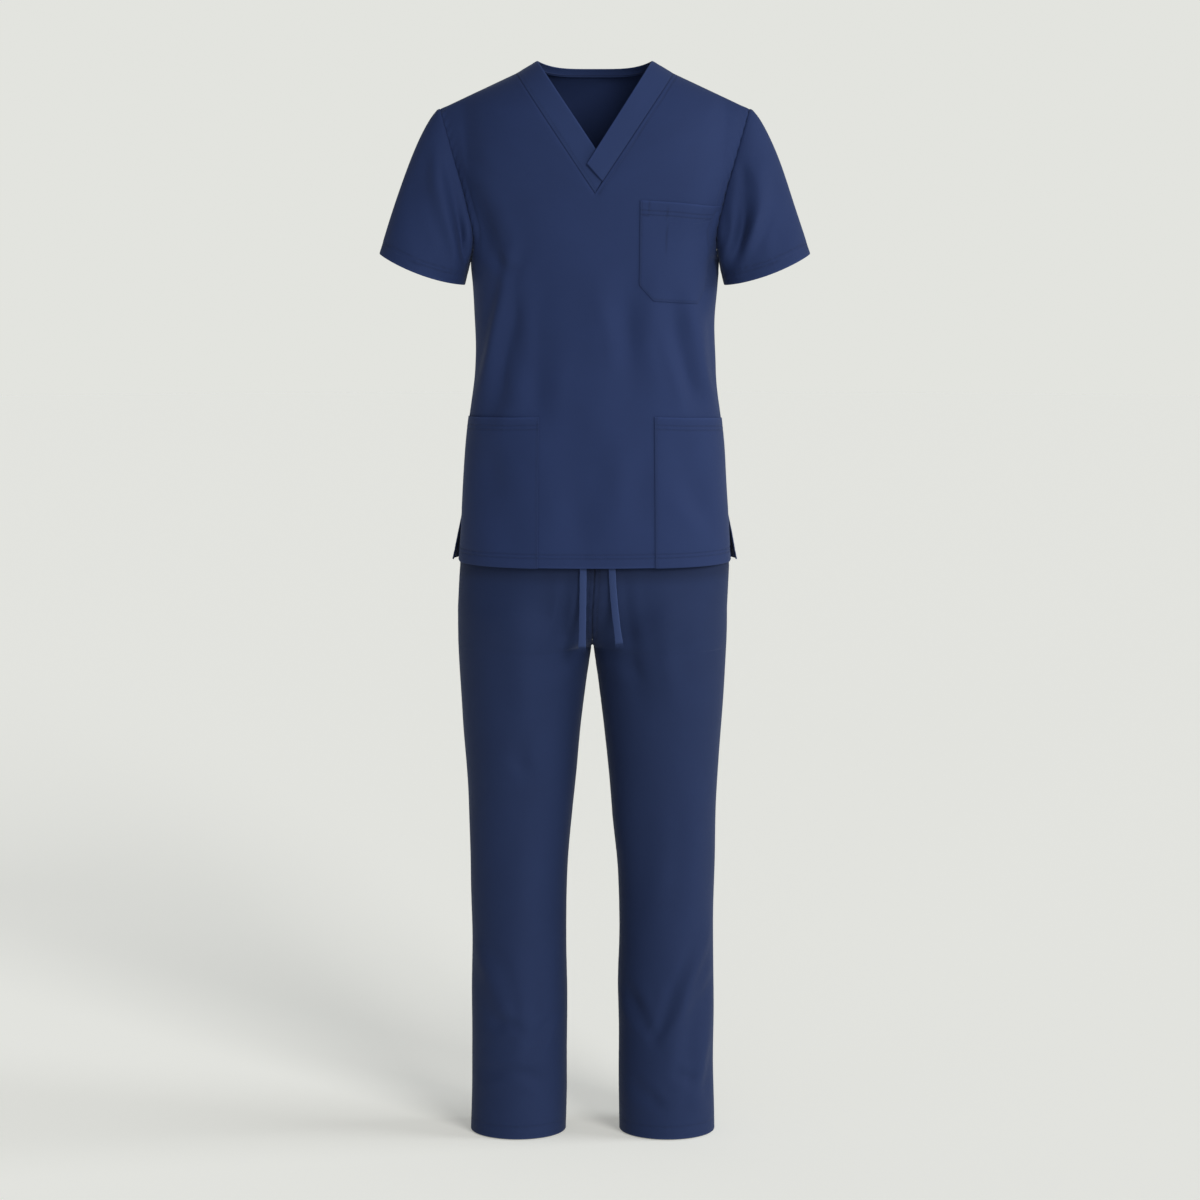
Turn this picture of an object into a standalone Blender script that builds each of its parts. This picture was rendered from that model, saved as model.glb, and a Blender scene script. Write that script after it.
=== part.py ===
"""Medical scrubs, filled out as if worn: a V-neck top with three patch pockets, and drawstring trousers.

The frame is +Z up with the wearer facing -Y and the wearer's left at +X. The origin lies midway between
the two high shoulder points of the top, where the wearer carries it. Every cloth piece is one wall,
made from its cut: rings and rows of points are worked out from the tables below, and Solidify gives
them their thickness. Angles in the tables are degrees round the body, 0 at the centre and 90 at the
side seam.
"""

import math

import bmesh
import bpy
import numpy as np

# Cloth
CLOTH = 0.0012
BAND_CLOTH = 0.0014
WAISTBAND_CLOTH = 0.002
SEAM = 0.0005
SHOULDER_SEAM = 0.0009
LEG_SEAM = 0.0008
ARMHOLE_SEAM = 0.0009
ON_TOP = 0.0004

# Torso of the top
HEM_Z = -0.720
SLIT_Z = -0.640
NECK_TIP_Z = -0.187
SLIT_FLARE = 0.0095
SLIT_FLARE_POWER = 6
SQUARENESS = 0.2
TORSO = {
    "z": (-0.720, -0.640, -0.560, -0.480, -0.400, -0.345, -0.287, -0.187),
    "half_width": (0.1975, 0.1925, 0.1875, 0.1795, 0.1755, 0.1765, 0.1790, 0.2000),
    "front": (0.1280, 0.1268, 0.1240, 0.1200, 0.1180, 0.1190, 0.1200, 0.1180),
    "back": (0.1260, 0.1245, 0.1170, 0.1040, 0.0970, 0.1000, 0.1080, 0.1180),
}
TORSO_ROWS = (
    -0.720, -0.680, -0.640, -0.600, -0.560, -0.520, -0.480, -0.440, -0.400, -0.360, -0.322, -0.287,
)
ARMHOLE = {
    "z": (-0.287, -0.279, -0.262, -0.240, -0.215, -0.187),
    "front_angle": (90.0, 80.0, 73.0, 69.5, 69.5, 70.0),
    "back_angle": (90.0, 81.0, 75.0, 72.0, 71.5, 71.5),
}
FRONT_COLUMNS = (0.0, 10.0, 20.5, 27.0, 38.0, 49.0, 61.0, 71.0, 81.0, 90.0)
BACK_COLUMNS = (0.0, 7.2, 14.4, 21.6, 28.8, 36.0, 48.0, 60.0, 71.0, 81.0, 90.0)
NECK_COLUMNS = 6
FREE_COLUMN = 61.0
FAN = (18.0, 36.0, 53.0, 68.0, 81.0, 90.0)

# Shoulders and neck
HIGH_SHOULDER_X = 0.082
SHOULDER = {"x": (0.082, 0.113, 0.222), "z": (0.0, -0.018, -0.069)}
FRONT_SEAM_X = 0.113
BACK_SEAM_X = 0.0915
SHOULDER_TIP_X = 0.222
NECK_SHARE = 0.4
BACK_NECK_Y = 0.0715
BACK_NECK_Z = -0.0205
BACK_NECK_TRIM = 0.03
BACK_BAND_Y = 0.0680
BACK_BAND_Z = -0.0110
NECK_LEAN = 60.0
CHEST_Y = -0.118
UNDER_BAND_END = (0.0204, -0.1530)
OVER_BAND_END = (-0.0111, -0.1453)
OVER_BAND_CORNER = (0.0110, -0.1703)
UNDER_REACH = 0.72
OVER_REACH = 0.80
LAP = 0.0030
LAP_START = 0.5
LAP_AT_SEAM = 0.5
UNDER_DIP = 0.0010
DIP_START = 0.72
UNDER_BAND_TRIM = 0.0030
BAND_ROWS = 11
BAND_ROW_SPREAD = 1.3
BAND_COLUMNS = 3

# Sleeves
SLEEVE_OUTER = (0.311, -0.276)
SLEEVE_INNER = (0.187, -0.321)
SLEEVE_DEPTH = 0.0625
SLEEVE_Y = -0.005
SLEEVE_DROP = 0.006
CAP_RISE = 0.012
CAP_SWELL = 0.007
CAP_WAY = (0.78, 0.0, 0.62)
SLEEVE_RINGS = (0.0, 0.07, 0.17, 0.30, 0.46, 0.64, 0.82, 1.0)

# Patch pockets, as outlines seen from the front: x, z
CHEST_POCKET = (
    (0.0640, -0.1965), (0.1150, -0.2000), (0.1780, -0.2070), (0.1640, -0.2420), (0.1600, -0.3200),
    (0.1465, -0.3450), (0.0830, -0.3400), (0.0630, -0.3170),
)
CUTTER_DEPTH = 0.12
CUTTER_Y = -0.125
HIP_POCKET_LEFT = ((0.0845, -0.5040), (0.2300, -0.5140), (0.2300, -0.8000), (0.0865, -0.8000))
HIP_POCKET_RIGHT = ((0.0790, -0.5040), (0.2300, -0.5110), (0.2300, -0.8000), (0.0815, -0.8000))

# Trousers
WAIST_Z = -0.585
BAND_TOP_Z = -0.548
RISE_Z = -0.740
CROTCH_Z = -0.847
LEG_HEM_Z = -1.566
LEAN = -0.0035
HIP = {
    "z": (-0.740, -0.700, -0.640, -0.585, -0.548),
    "half_width": (0.1960, 0.1947, 0.1840, 0.1720, 0.1690),
    "front": (0.1150, 0.1165, 0.1135, 0.1080, 0.1060),
    "back": (0.1220, 0.1210, 0.1140, 0.1040, 0.1010),
}
LEG = {
    "z": (-1.566, -1.450, -1.340, -1.230, -1.120, -1.016, -0.930, -0.874, -0.847, -0.740),
    "inner": (0.0395, 0.0380, 0.0375, 0.0395, 0.0320, 0.0225, 0.0125, 0.0060, 0.0016, 0.0005),
    "outer": (0.1805, 0.1780, 0.1780, 0.1775, 0.1800, 0.1845, 0.1905, 0.1945, 0.1960, 0.1965),
    "front": (0.0740, 0.0740, 0.0750, 0.0770, 0.0820, 0.0890, 0.0970, 0.1040, 0.1070, 0.1150),
    "back": (0.0740, 0.0760, 0.0790, 0.0840, 0.0900, 0.0980, 0.1070, 0.1140, 0.1170, 0.1220),
}
LEG_ROWS = (
    -1.566, -1.535, -1.500, -1.465, -1.420, -1.360, -1.270, -1.180, -1.090, -1.010, -0.940, -0.890,
    -0.862,
)
CROTCH_ROWS = (1.0, 0.965, 0.88, 0.74, 0.54, 0.28)
CROTCH_REACH = 0.5
CROTCH_FULLNESS = 0.10
HIP_ROWS = (-0.740, -0.700, -0.660, -0.620, -0.585)
PANTS_COLUMNS = 7
WAISTBAND_POINTS = 32

# Drawstring ends, as flat tapes: x, y, z down from the eyelets in the waistband
TAPE_WIDTH = 0.010
TAPE_CLOTH = 0.0016
TAPE_LEFT = (
    (0.0180, -0.1075, -0.5660), (0.0200, -0.1127, -0.6100), (0.0225, -0.1165, -0.6600),
    (0.0240, -0.1184, -0.7000), (0.0262, -0.1190, -0.7500), (0.0300, -0.1187, -0.7900),
    (0.0350, -0.1180, -0.8290),
)
TAPE_RIGHT = (
    (-0.0150, -0.1075, -0.5660), (-0.0158, -0.1127, -0.6100), (-0.0160, -0.1165, -0.6600),
    (-0.0163, -0.1184, -0.7000), (-0.0168, -0.1190, -0.7500), (-0.0174, -0.1187, -0.7900),
    (-0.0182, -0.1180, -0.8340),
)
TAPE_POINTS = 14

# The largest folds, as soft ridges (+) and troughs (-): from x, z to x, z, half width, depth
TORSO_FOLDS = (
    (0.136, -0.335, 0.172, -0.480, 0.016, 0.0035),
    (0.118, -0.345, 0.150, -0.500, 0.016, -0.0030),
    (0.052, -0.300, 0.062, -0.470, 0.024, -0.0025),
)
BACK_FOLDS = (
    (0.040, -0.330, 0.022, -0.520, 0.026, -0.0040),
    (0.100, -0.360, 0.120, -0.540, 0.024, -0.0035),
    (0.150, -0.250, 0.110, -0.360, 0.022, -0.0030),
)
LEG_FOLDS = (
    (0.060, -1.440, 0.100, -1.415, 0.014, -0.0030),
    (0.060, -1.500, 0.135, -1.495, 0.014, -0.0030),
    (0.125, -1.470, 0.170, -1.380, 0.016, 0.0030),
    (0.060, -1.050, 0.110, -1.020, 0.020, -0.0025),
)

NAVY = (0.020, 0.032, 0.094)
BAND_NAVY = (0.022, 0.035, 0.101)
TAPE_NAVY = (0.027, 0.041, 0.112)


def clear_scene():
    for obj in list(bpy.data.objects):
        bpy.data.objects.remove(obj, do_unlink=True)


def new_collection(name):
    collection = bpy.data.collections.new(name)
    bpy.context.scene.collection.children.link(collection)
    return collection


def cloth_material(name, color):
    material = bpy.data.materials.new(name)
    material.use_nodes = True
    shader = material.node_tree.nodes["Principled BSDF"]
    shader.inputs["Base Color"].default_value = (*color, 1.0)
    shader.inputs["Roughness"].default_value = 0.85
    shader.inputs["Metallic"].default_value = 0.0
    material.diffuse_color = (*color, 1.0)
    return material


def column_at(table, name, z):
    """One column of a table at height z, as a smooth curve through its rows (cubic, Hermite form)."""
    heights = np.array(table["z"])
    values = np.array(table[name])
    order = np.argsort(heights)
    heights, values = heights[order], values[order]
    slopes = np.gradient(values, heights)
    z = min(max(z, heights[0]), heights[-1])
    row = min(int(np.searchsorted(heights, z, side="right")) - 1, len(heights) - 2)
    step = heights[row + 1] - heights[row]
    t = (z - heights[row]) / step
    return float(
        (2 * t**3 - 3 * t**2 + 1) * values[row]
        + (t**3 - 2 * t**2 + t) * step * slopes[row]
        + (3 * t**2 - 2 * t**3) * values[row + 1]
        + (t**3 - t**2) * step * slopes[row + 1]
    )


def fold_depth(folds, x, z):
    """How far the folds of a table move the cloth out (+) or in (-) at a point seen from the front."""
    total = 0.0
    for x0, z0, x1, z1, half_width, depth in folds:
        length_x, length_z = x1 - x0, z1 - z0
        length = math.hypot(length_x, length_z)
        along = ((x - x0) * length_x + (z - z0) * length_z) / length**2
        across = ((x - x0) * length_z - (z - z0) * length_x) / length
        if -0.3 < along < 1.3:
            fade = math.sin(math.pi * (along + 0.3) / 1.6) ** 2
            total += depth * fade * math.exp(-((across / half_width) ** 2))
    return total


def section(z, angle, front):
    """A point of the torso's section at height z, at an angle round from the centre line."""
    turn = math.radians(angle)
    depth = column_at(TORSO, "front" if front else "back", z)
    square = 1.0 + SQUARENESS * math.sin(turn) ** 2
    x = column_at(TORSO, "half_width", z) * math.sin(turn)
    fold = fold_depth(TORSO_FOLDS if front else BACK_FOLDS, x, z)
    y = (depth + fold) * math.cos(turn) * square
    return np.array((x, -y if front else y, z))


def squeezed(angle, armhole_angle):
    """Moves the columns outside the pocket inwards, so that the last one lies on the armhole."""
    if angle <= FREE_COLUMN:
        return angle
    return FREE_COLUMN + (angle - FREE_COLUMN) * (armhole_angle - FREE_COLUMN) / (90.0 - FREE_COLUMN)


def shoulder_z(x):
    return float(np.interp(x, SHOULDER["x"], SHOULDER["z"]))


def neck_and_shoulder(share):
    """A point on the top edge of the back, from the centre (0) to the shoulder tip (1), and its lean."""
    if share < NECK_SHARE:
        turn = math.radians(90.0 * share / NECK_SHARE)
        z = BACK_NECK_Z + (shoulder_z(BACK_SEAM_X) - BACK_NECK_Z) * math.sin(turn) ** 4
        lean = NECK_LEAN + (90.0 - NECK_LEAN) * share / NECK_SHARE
        return np.array((BACK_SEAM_X * math.sin(turn), BACK_NECK_Y * math.cos(turn), z)), lean
    x = BACK_SEAM_X + (SHOULDER_TIP_X - BACK_SEAM_X) * (share - NECK_SHARE) / (1.0 - NECK_SHARE)
    return np.array((x, 0.0, shoulder_z(x))), 90.0


def front_shoulder(share):
    """A point on the shoulder seam of the front, from the neckband (0) to the shoulder tip (1)."""
    x = FRONT_SEAM_X + (SHOULDER_TIP_X - FRONT_SEAM_X) * share
    return np.array((x, 0.0, shoulder_z(x))), 90.0


def over_shoulder(low, high, lean, share):
    """A point on the curve that runs up from low and leans over until it reaches high."""
    top = math.radians(lean)
    turn = top * share
    rise = math.sin(turn) / math.sin(top)
    y = low[1] + (high[1] - low[1]) * (1.0 - math.cos(turn)) / (1.0 - math.cos(top))
    return np.array((low[0] + (high[0] - low[0]) * rise, y, low[2] + (high[2] - low[2]) * rise))


def torso_half(front):
    """The +X half of the front or the back, as rows of points from the hem up to the shoulder seam."""
    columns = FRONT_COLUMNS if front else BACK_COLUMNS
    rows = []
    for z in TORSO_ROWS:
        row = [section(z, angle, front) for angle in columns]
        if not front and z < SLIT_Z:
            flare = SLIT_FLARE * (SLIT_Z - z) / (SLIT_Z - HEM_Z)
            for angle, point in zip(columns, row):
                point[0] += flare * math.sin(math.radians(angle)) ** SLIT_FLARE_POWER
        rows.append(row)
    angles = ARMHOLE["front_angle" if front else "back_angle"]
    for z, armhole_angle in list(zip(ARMHOLE["z"], angles))[1:]:
        rows.append([section(z, squeezed(angle, armhole_angle), front) for angle in columns])
    top_of = front_shoulder if front else neck_and_shoulder
    low_row = rows[-1]
    for lean_share in FAN:
        row = []
        for angle, low in zip(columns, low_row):
            high, lean = top_of(angle / 90.0)
            row.append(over_shoulder(low, high, lean, lean_share / 90.0))
        rows.append(row)
    return np.array(rows)


def armhole_loop(front_rows, back_rows):
    """The armhole seam as one closed loop: from the armpit up the front and down the back."""
    first = len(TORSO_ROWS) - 1
    front_edge = [row[-1] for row in front_rows[first:]]
    back_edge = [row[-1] for row in back_rows[first:]]
    return np.array(front_edge + back_edge[-2:0:-1])


def pull_edges(rows, front):
    """Draws the seam edges of a torso half in by half a seam gap."""
    rows = rows.copy()
    forward = -1.0 if front else 1.0
    first = len(TORSO_ROWS) - 1
    rows[: first + 1, -1, 1] += forward * SEAM / 2
    rows[-1, :, 1] += forward * SHOULDER_SEAM / 2
    for row in rows[first + 1 :]:
        along = row[-1] - row[-2]
        row[-1] -= along / np.linalg.norm(along) * SEAM / 2
    if front:
        for row in rows[first + len(ARMHOLE["z"]) :]:
            row[0, 0] += SEAM / 2
    else:
        rows[-1, : NECK_COLUMNS - 1] -= (rows[-1] - rows[-2])[: NECK_COLUMNS - 1] * BACK_NECK_TRIM
        rows[-1, NECK_COLUMNS - 1, 0] += SEAM / 2
    return rows


def grid_faces(rows, columns, closed, flipped):
    faces = []
    for i in range(rows - 1):
        for j in range(columns if closed else columns - 1):
            k = (j + 1) % columns
            face = (i * columns + j, i * columns + k, (i + 1) * columns + k, (i + 1) * columns + j)
            faces.append(face[::-1] if flipped else face)
    return faces


def cloth_piece(name, points, material, thickness=CLOTH, closed=False, flipped=False):
    """One cloth piece: an open surface through a grid of points, and Solidify for its thickness."""
    points = np.asarray(points)
    rows, columns = points.shape[:2]
    mesh = bpy.data.meshes.new(name)
    mesh.from_pydata(points.reshape(-1, 3).tolist(), [], grid_faces(rows, columns, closed, flipped))
    mesh.update()
    mesh.shade_smooth()
    mesh.materials.append(material)
    obj = bpy.data.objects.new(name, mesh)
    parts.objects.link(obj)
    wall = obj.modifiers.new("Wall", "SOLIDIFY")
    wall.thickness = thickness
    wall.offset = -1.0
    return obj


def mirror_half(obj):
    """Makes the other half of a piece whose centre line lies on the YZ plane."""
    mirror = obj.modifiers.new("Other half", "MIRROR")
    mirror.use_axis = (True, False, False)
    mirror.merge_threshold = 0.0001
    obj.modifiers.move(len(obj.modifiers) - 1, 0)


def make_torso():
    """The front and the back, each mirrored about its centre line, and the armhole between them."""
    front_rows = torso_half(front=True)
    back_rows = torso_half(front=False)
    front = cloth_piece(
        "top_front", pull_edges(front_rows, True), cloth_material("front_cloth", NAVY)
    )
    back = cloth_piece(
        "top_back", pull_edges(back_rows, False), cloth_material("back_cloth", NAVY), flipped=True
    )
    mirror_half(front)
    mirror_half(back)
    return front, armhole_loop(front_rows, back_rows)


def sleeve_hem(loop):
    """The hem ring of the left sleeve, with one point for each point of the armhole loop."""
    outer = np.array((SLEEVE_OUTER[0], 0.0, SLEEVE_OUTER[1]))
    inner = np.array((SLEEVE_INNER[0], 0.0, SLEEVE_INNER[1]))
    tip = len(ARMHOLE["z"]) + len(FAN) - 1
    steps = np.linalg.norm(np.diff(np.vstack((loop, loop[:1])), axis=0), axis=1)
    front_length = steps[:tip].sum()
    back_length = steps[tip:].sum()
    ring = []
    for index in range(len(loop)):
        gone = steps[:index].sum()
        if index <= tip:
            turn = math.pi * gone / front_length
        else:
            turn = math.pi + math.pi * (gone - front_length) / back_length
        point = (outer + inner) / 2 + (inner - outer) / 2 * math.cos(turn)
        point[1] = SLEEVE_Y - SLEEVE_DEPTH * math.sin(turn)
        point[2] -= SLEEVE_DROP * math.sin(turn) ** 2
        ring.append(point)
    return np.array(ring)


def make_sleeve(name, loop, side):
    """A short sleeve, lofted from the armhole to the hem ring with a rounded cap."""
    hem = sleeve_hem(loop)
    highness = (loop[:, 2] - loop[:, 2].min()) / np.ptp(loop[:, 2])
    frontness = -loop[:, 1] / np.abs(loop[:, 1]).max()
    rings = []
    for share in SLEEVE_RINGS:
        ring = loop * (1 - share) + hem * share
        swell = math.sin(math.pi * share**0.6)
        ring += CAP_RISE * swell * highness[:, None] ** 2 * np.array(CAP_WAY)
        ring[:, 1] -= CAP_SWELL * swell * frontness
        rings.append(ring)
    away = rings[1] - rings[0]
    rings[0] = rings[0] + away / np.linalg.norm(away, axis=1)[:, None] * ARMHOLE_SEAM
    low = 1.0 - highness
    rings[0][:, 0] += SEAM * low**4
    points = np.array(rings)
    points[:, :, 0] *= side
    material = cloth_material(name + "_cloth", NAVY)
    return cloth_piece(name, points, material, closed=True, flipped=side > 0)


def make_pocket(name, panel, outline, side):
    """A patch pocket: the panel's own surface moved out, thickened and cut to the pocket's outline."""
    source = panel.data
    mesh = bpy.data.meshes.new(name)
    points = [vertex.co + vertex.normal * ON_TOP for vertex in source.vertices]
    xs = [x for x, _ in outline]
    zs = [z for _, z in outline]
    faces = []
    for polygon in source.polygons:
        corners = [source.vertices[index].co for index in polygon.vertices]
        in_x = max(c.x for c in corners) > min(xs) and min(c.x for c in corners) < max(xs)
        in_z = max(c.z for c in corners) > min(zs) and min(c.z for c in corners) < max(zs)
        if in_x and in_z:
            face = list(polygon.vertices)
            faces.append(face if side > 0 else face[::-1])
    mesh.from_pydata([(p.x * side, p.y, p.z) for p in points], [], faces)
    mesh.update()
    mesh.shade_smooth()
    mesh.materials.append(cloth_material(name + "_cloth", NAVY))
    pocket = bpy.data.objects.new(name, mesh)
    parts.objects.link(pocket)
    wall = pocket.modifiers.new("Wall", "SOLIDIFY")
    wall.thickness = CLOTH
    wall.offset = 1.0
    cutter = outline_cutter(name + "_outline", outline, side)
    cut = pocket.modifiers.new("Outline", "BOOLEAN")
    cut.operation = "INTERSECT"
    cut.object = cutter
    return pocket


def outline_cutter(name, outline, side):
    """A block with the outline's shape, standing in front of the body."""
    curve = bpy.data.curves.new(name, "CURVE")
    curve.dimensions = "2D"
    curve.fill_mode = "BOTH"
    curve.extrude = CUTTER_DEPTH
    spline = curve.splines.new("POLY")
    spline.points.add(len(outline) - 1)
    for point, (x, z) in zip(spline.points, outline):
        point.co = (x * side, z, 0.0, 1.0)
    spline.use_cyclic_u = True
    guide = bpy.data.objects.new(name, curve)
    cutters.objects.link(guide)
    guide.rotation_euler = (math.radians(90), 0.0, 0.0)
    guide.location = (0.0, CUTTER_Y, 0.0)
    bpy.context.view_layer.update()
    evaluated = guide.evaluated_get(bpy.context.evaluated_depsgraph_get())
    mesh = bpy.data.meshes.new_from_object(evaluated)
    cutter = bpy.data.objects.new(name + "_cutter", mesh)
    cutter.matrix_world = guide.matrix_world.copy()
    cutters.objects.link(cutter)
    bpy.data.objects.remove(guide)
    weld(mesh)
    cutter.hide_render = True
    cutter.display_type = "WIRE"
    return cutter


def weld(mesh):
    shell = bmesh.new()
    shell.from_mesh(mesh)
    bmesh.ops.remove_doubles(shell, verts=shell.verts, dist=0.00001)
    bmesh.ops.recalc_face_normals(shell, faces=shell.faces)
    shell.to_mesh(mesh)
    shell.free()


def band_edge(start, end, reach, row_share):
    """A point on a long edge of a front neckband: straight from the front, arched from the side."""
    x = start[0] + (end[0] - start[0]) * row_share
    z = start[1] + (end[1] - start[1]) * row_share
    left = 1.0 - reach * row_share
    return np.array((x, CHEST_Y * math.sqrt(max(0.0, 1.0 - left**2)), z))


def make_front_band(name, side, over):
    """A front neckband, from the shoulder seam down to the tip of the V."""
    seam_start = (FRONT_SEAM_X, shoulder_z(FRONT_SEAM_X))
    edge_start = (HIGH_SHOULDER_X, 0.0)
    full = shoulder_z(FRONT_SEAM_X) - NECK_TIP_Z
    if over:
        seam_end, edge_end = OVER_BAND_CORNER, OVER_BAND_END
    else:
        seam_end, edge_end = (0.0, NECK_TIP_Z), (-UNDER_BAND_END[0], UNDER_BAND_END[1])
    seam_reach = (seam_start[1] - seam_end[1]) / full
    rows = []
    for index in range(BAND_ROWS + 1):
        share = (index / BAND_ROWS) ** BAND_ROW_SPREAD
        seam = band_edge(seam_start, seam_end, seam_reach, share)
        edge = band_edge(edge_start, edge_end, OVER_REACH if over else UNDER_REACH, share)
        across = (edge - seam) / np.linalg.norm(edge - seam)
        seam = seam + across * SEAM / 2
        if index == 0:
            seam[1] -= SHOULDER_SEAM / 2
            edge[1] -= SHOULDER_SEAM / 2
        if index == BAND_ROWS and not over:
            seam = seam + across * UNDER_BAND_TRIM
        lap = LAP * max(0.0, share - LAP_START) / (1.0 - LAP_START) if over else 0.0
        dip = 0.0 if over else UNDER_DIP * max(0.0, share - DIP_START) / (1.0 - DIP_START)
        row = []
        for column in range(BAND_COLUMNS + 1):
            across_share = column / BAND_COLUMNS
            point = seam + (edge - seam) * across_share
            point[1] -= lap * (LAP_AT_SEAM + (1.0 - LAP_AT_SEAM) * across_share)
            point[1] += dip * across_share
            row.append(point)
        rows.append(row)
    points = np.array(rows)
    points[:, :, 0] *= side
    material = cloth_material(name + "_cloth", BAND_NAVY)
    return cloth_piece(name, points, material, BAND_CLOTH, flipped=side < 0)


def make_back_band():
    """The narrow band round the back of the neck, from one shoulder seam to the other."""
    seam_row = []
    edge_row = []
    for angle in BACK_COLUMNS[:NECK_COLUMNS]:
        share = angle / 90.0 / NECK_SHARE
        turn = math.pi / 2 * share
        seam, _ = neck_and_shoulder(angle / 90.0)
        edge_z = BACK_BAND_Z * (1.0 - math.sin(turn) ** 4)
        edge = np.array((HIGH_SHOULDER_X * math.sin(turn), BACK_BAND_Y * math.cos(turn), edge_z))
        seam_row.append(seam + (edge - seam) / np.linalg.norm(edge - seam) * SEAM / 2)
        edge_row.append(edge)
    points = np.array((seam_row, edge_row))
    points[:, -1, 1] += SHOULDER_SEAM / 2
    band = cloth_piece(
        "neckband_back", points, cloth_material("back_band_cloth", BAND_NAVY), flipped=True
    )
    mirror_half(band)
    return band


def leg_point(z, share, front):
    """A point of one leg's section, from the inner side (share 0) to the outer side (share 1)."""
    turn = math.pi * share
    inner = column_at(LEG, "inner", z)
    outer = column_at(LEG, "outer", z)
    depth = column_at(LEG, "front" if front else "back", z)
    x = (inner + outer) / 2 - (outer - inner) / 2 * math.cos(turn)
    depth += fold_depth(LEG_FOLDS, x, z)
    y = depth * math.sin(turn)
    return np.array((x, -y if front else y, z))


def hip_point(z, share, front):
    """A point of the hips' section, from the centre seam (share 0) to the side seam (share 1)."""
    turn = math.pi / 2 * share
    depth = column_at(HIP, "front" if front else "back", z)
    square = 1.0 + SQUARENESS * math.sin(turn) ** 2
    y = depth * math.cos(turn) * square
    return np.array((column_at(HIP, "half_width", z) * math.sin(turn), -y if front else y, z))


def crotch_point(drop, share, front):
    """A point between the hips (drop 0) and the leg (drop 1), whose inner end runs down the crotch curve."""
    z = RISE_Z + (CROTCH_Z - RISE_Z) * drop
    curved = math.sqrt(1.0 - drop**2)
    even = (1.0 - drop) ** 2 * (1.0 + 2.0 * drop)
    outerness = min(1.0, share / CROTCH_REACH)
    hip_share = curved + (even - curved) * outerness * outerness * (3.0 - 2.0 * outerness)
    point = leg_point(z, share, front) * (1.0 - hip_share) + hip_point(RISE_Z, share, front) * hip_share
    fullness = CROTCH_FULLNESS * 4.0 * hip_share * (1.0 - hip_share) * math.sin(math.pi * share)
    point[1] *= 1.0 + fullness
    point[2] = z
    return point


def pants_rows(front):
    """The +X half of the trousers' front or back: leg, then the crotch curve, then the hips."""
    shares = [column / PANTS_COLUMNS for column in range(PANTS_COLUMNS + 1)]
    rows = [[leg_point(z, share, front) for share in shares] for z in LEG_ROWS]
    rows += [[crotch_point(drop, share, front) for share in shares] for drop in CROTCH_ROWS]
    rows += [[hip_point(z, share, front) for share in shares] for z in HIP_ROWS]
    return np.array(rows)


def lean_at(z):
    """How far the trousers hang to one side of the top at height z."""
    return LEAN * min(1.0, max(0.0, (HEM_Z - 0.01 - z) / 0.06))


def make_pants_panel(name, front, side):
    rows = pants_rows(front)
    forward = -1.0 if front else 1.0
    rows[:, -1, 1] += forward * LEG_SEAM / 2
    legs = len(LEG_ROWS) + 1
    rows[:legs, 0, 1] += forward * LEG_SEAM / 2
    rows[legs - 1 :, 0, 0] = np.maximum(rows[legs - 1 :, 0, 0], SEAM / 2)
    rows[-1, :, 2] -= SEAM / 2
    rows[:, :, 0] *= side
    for row in rows:
        row[:, 0] += lean_at(row[0, 2])
    material = cloth_material(name + "_cloth", NAVY)
    return cloth_piece(name, rows, material, flipped=(side > 0) != front)


def make_waistband():
    """The casing round the waist that the drawstring runs in."""
    rows = []
    for z in (WAIST_Z + SEAM / 2, BAND_TOP_Z):
        ring = []
        for index in range(WAISTBAND_POINTS):
            turn = 2 * math.pi * index / WAISTBAND_POINTS
            front = math.cos(turn) > 0
            share = abs(math.degrees(math.atan2(math.sin(turn), abs(math.cos(turn))))) / 90.0
            point = hip_point(z, share, front)
            point[0] *= math.copysign(1.0, math.sin(turn))
            ring.append(point)
        rows.append(ring)
    material = cloth_material("waistband_cloth", BAND_NAVY)
    return cloth_piece("waistband", rows, material, WAISTBAND_CLOTH, closed=True)


def smooth_route(points, count):
    """Evenly spaced points on a smooth curve through a route's own points."""
    points = np.array(points)
    at = np.concatenate(([0.0], np.cumsum(np.linalg.norm(np.diff(points, axis=0), axis=1))))
    route = []
    for distance in np.linspace(0.0, at[-1], count):
        table = {"z": at, "x": points[:, 0], "y": points[:, 1], "height": points[:, 2]}
        route.append([column_at(table, name, distance) for name in ("x", "y", "height")])
    return np.array(route)


def make_tape(name, route):
    """A free end of the drawstring: a flat tape swept down its route, facing forward."""
    rings = []
    centres = smooth_route(route, TAPE_POINTS)
    for centre, way in zip(centres, np.gradient(centres, axis=0)):
        way = way / np.linalg.norm(way)
        wide = np.cross(way, (0.0, 1.0, 0.0))
        wide = wide / np.linalg.norm(wide)
        thick = np.cross(wide, way)
        ring = []
        for across, out in ((-1, 0), (-0.8, 1), (0.8, 1), (1, 0), (0.8, -1), (-0.8, -1)):
            ring.append(centre + wide * across * TAPE_WIDTH / 2 + thick * out * TAPE_CLOTH / 2)
        rings.append(ring)
    count = len(rings[0])
    faces = grid_faces(len(rings), count, True, False)
    faces.append(tuple(range(count))[::-1])
    faces.append(tuple(range((len(rings) - 1) * count, len(rings) * count)))
    mesh = bpy.data.meshes.new(name)
    mesh.from_pydata(np.array(rings).reshape(-1, 3).tolist(), [], faces)
    weld(mesh)
    mesh.materials.append(cloth_material(name + "_cloth", TAPE_NAVY))
    obj = bpy.data.objects.new(name, mesh)
    parts.objects.link(obj)
    return obj


clear_scene()
parts = new_collection("medical_scrubs")
cutters = new_collection("cutters")
cutters.hide_render = True

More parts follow.
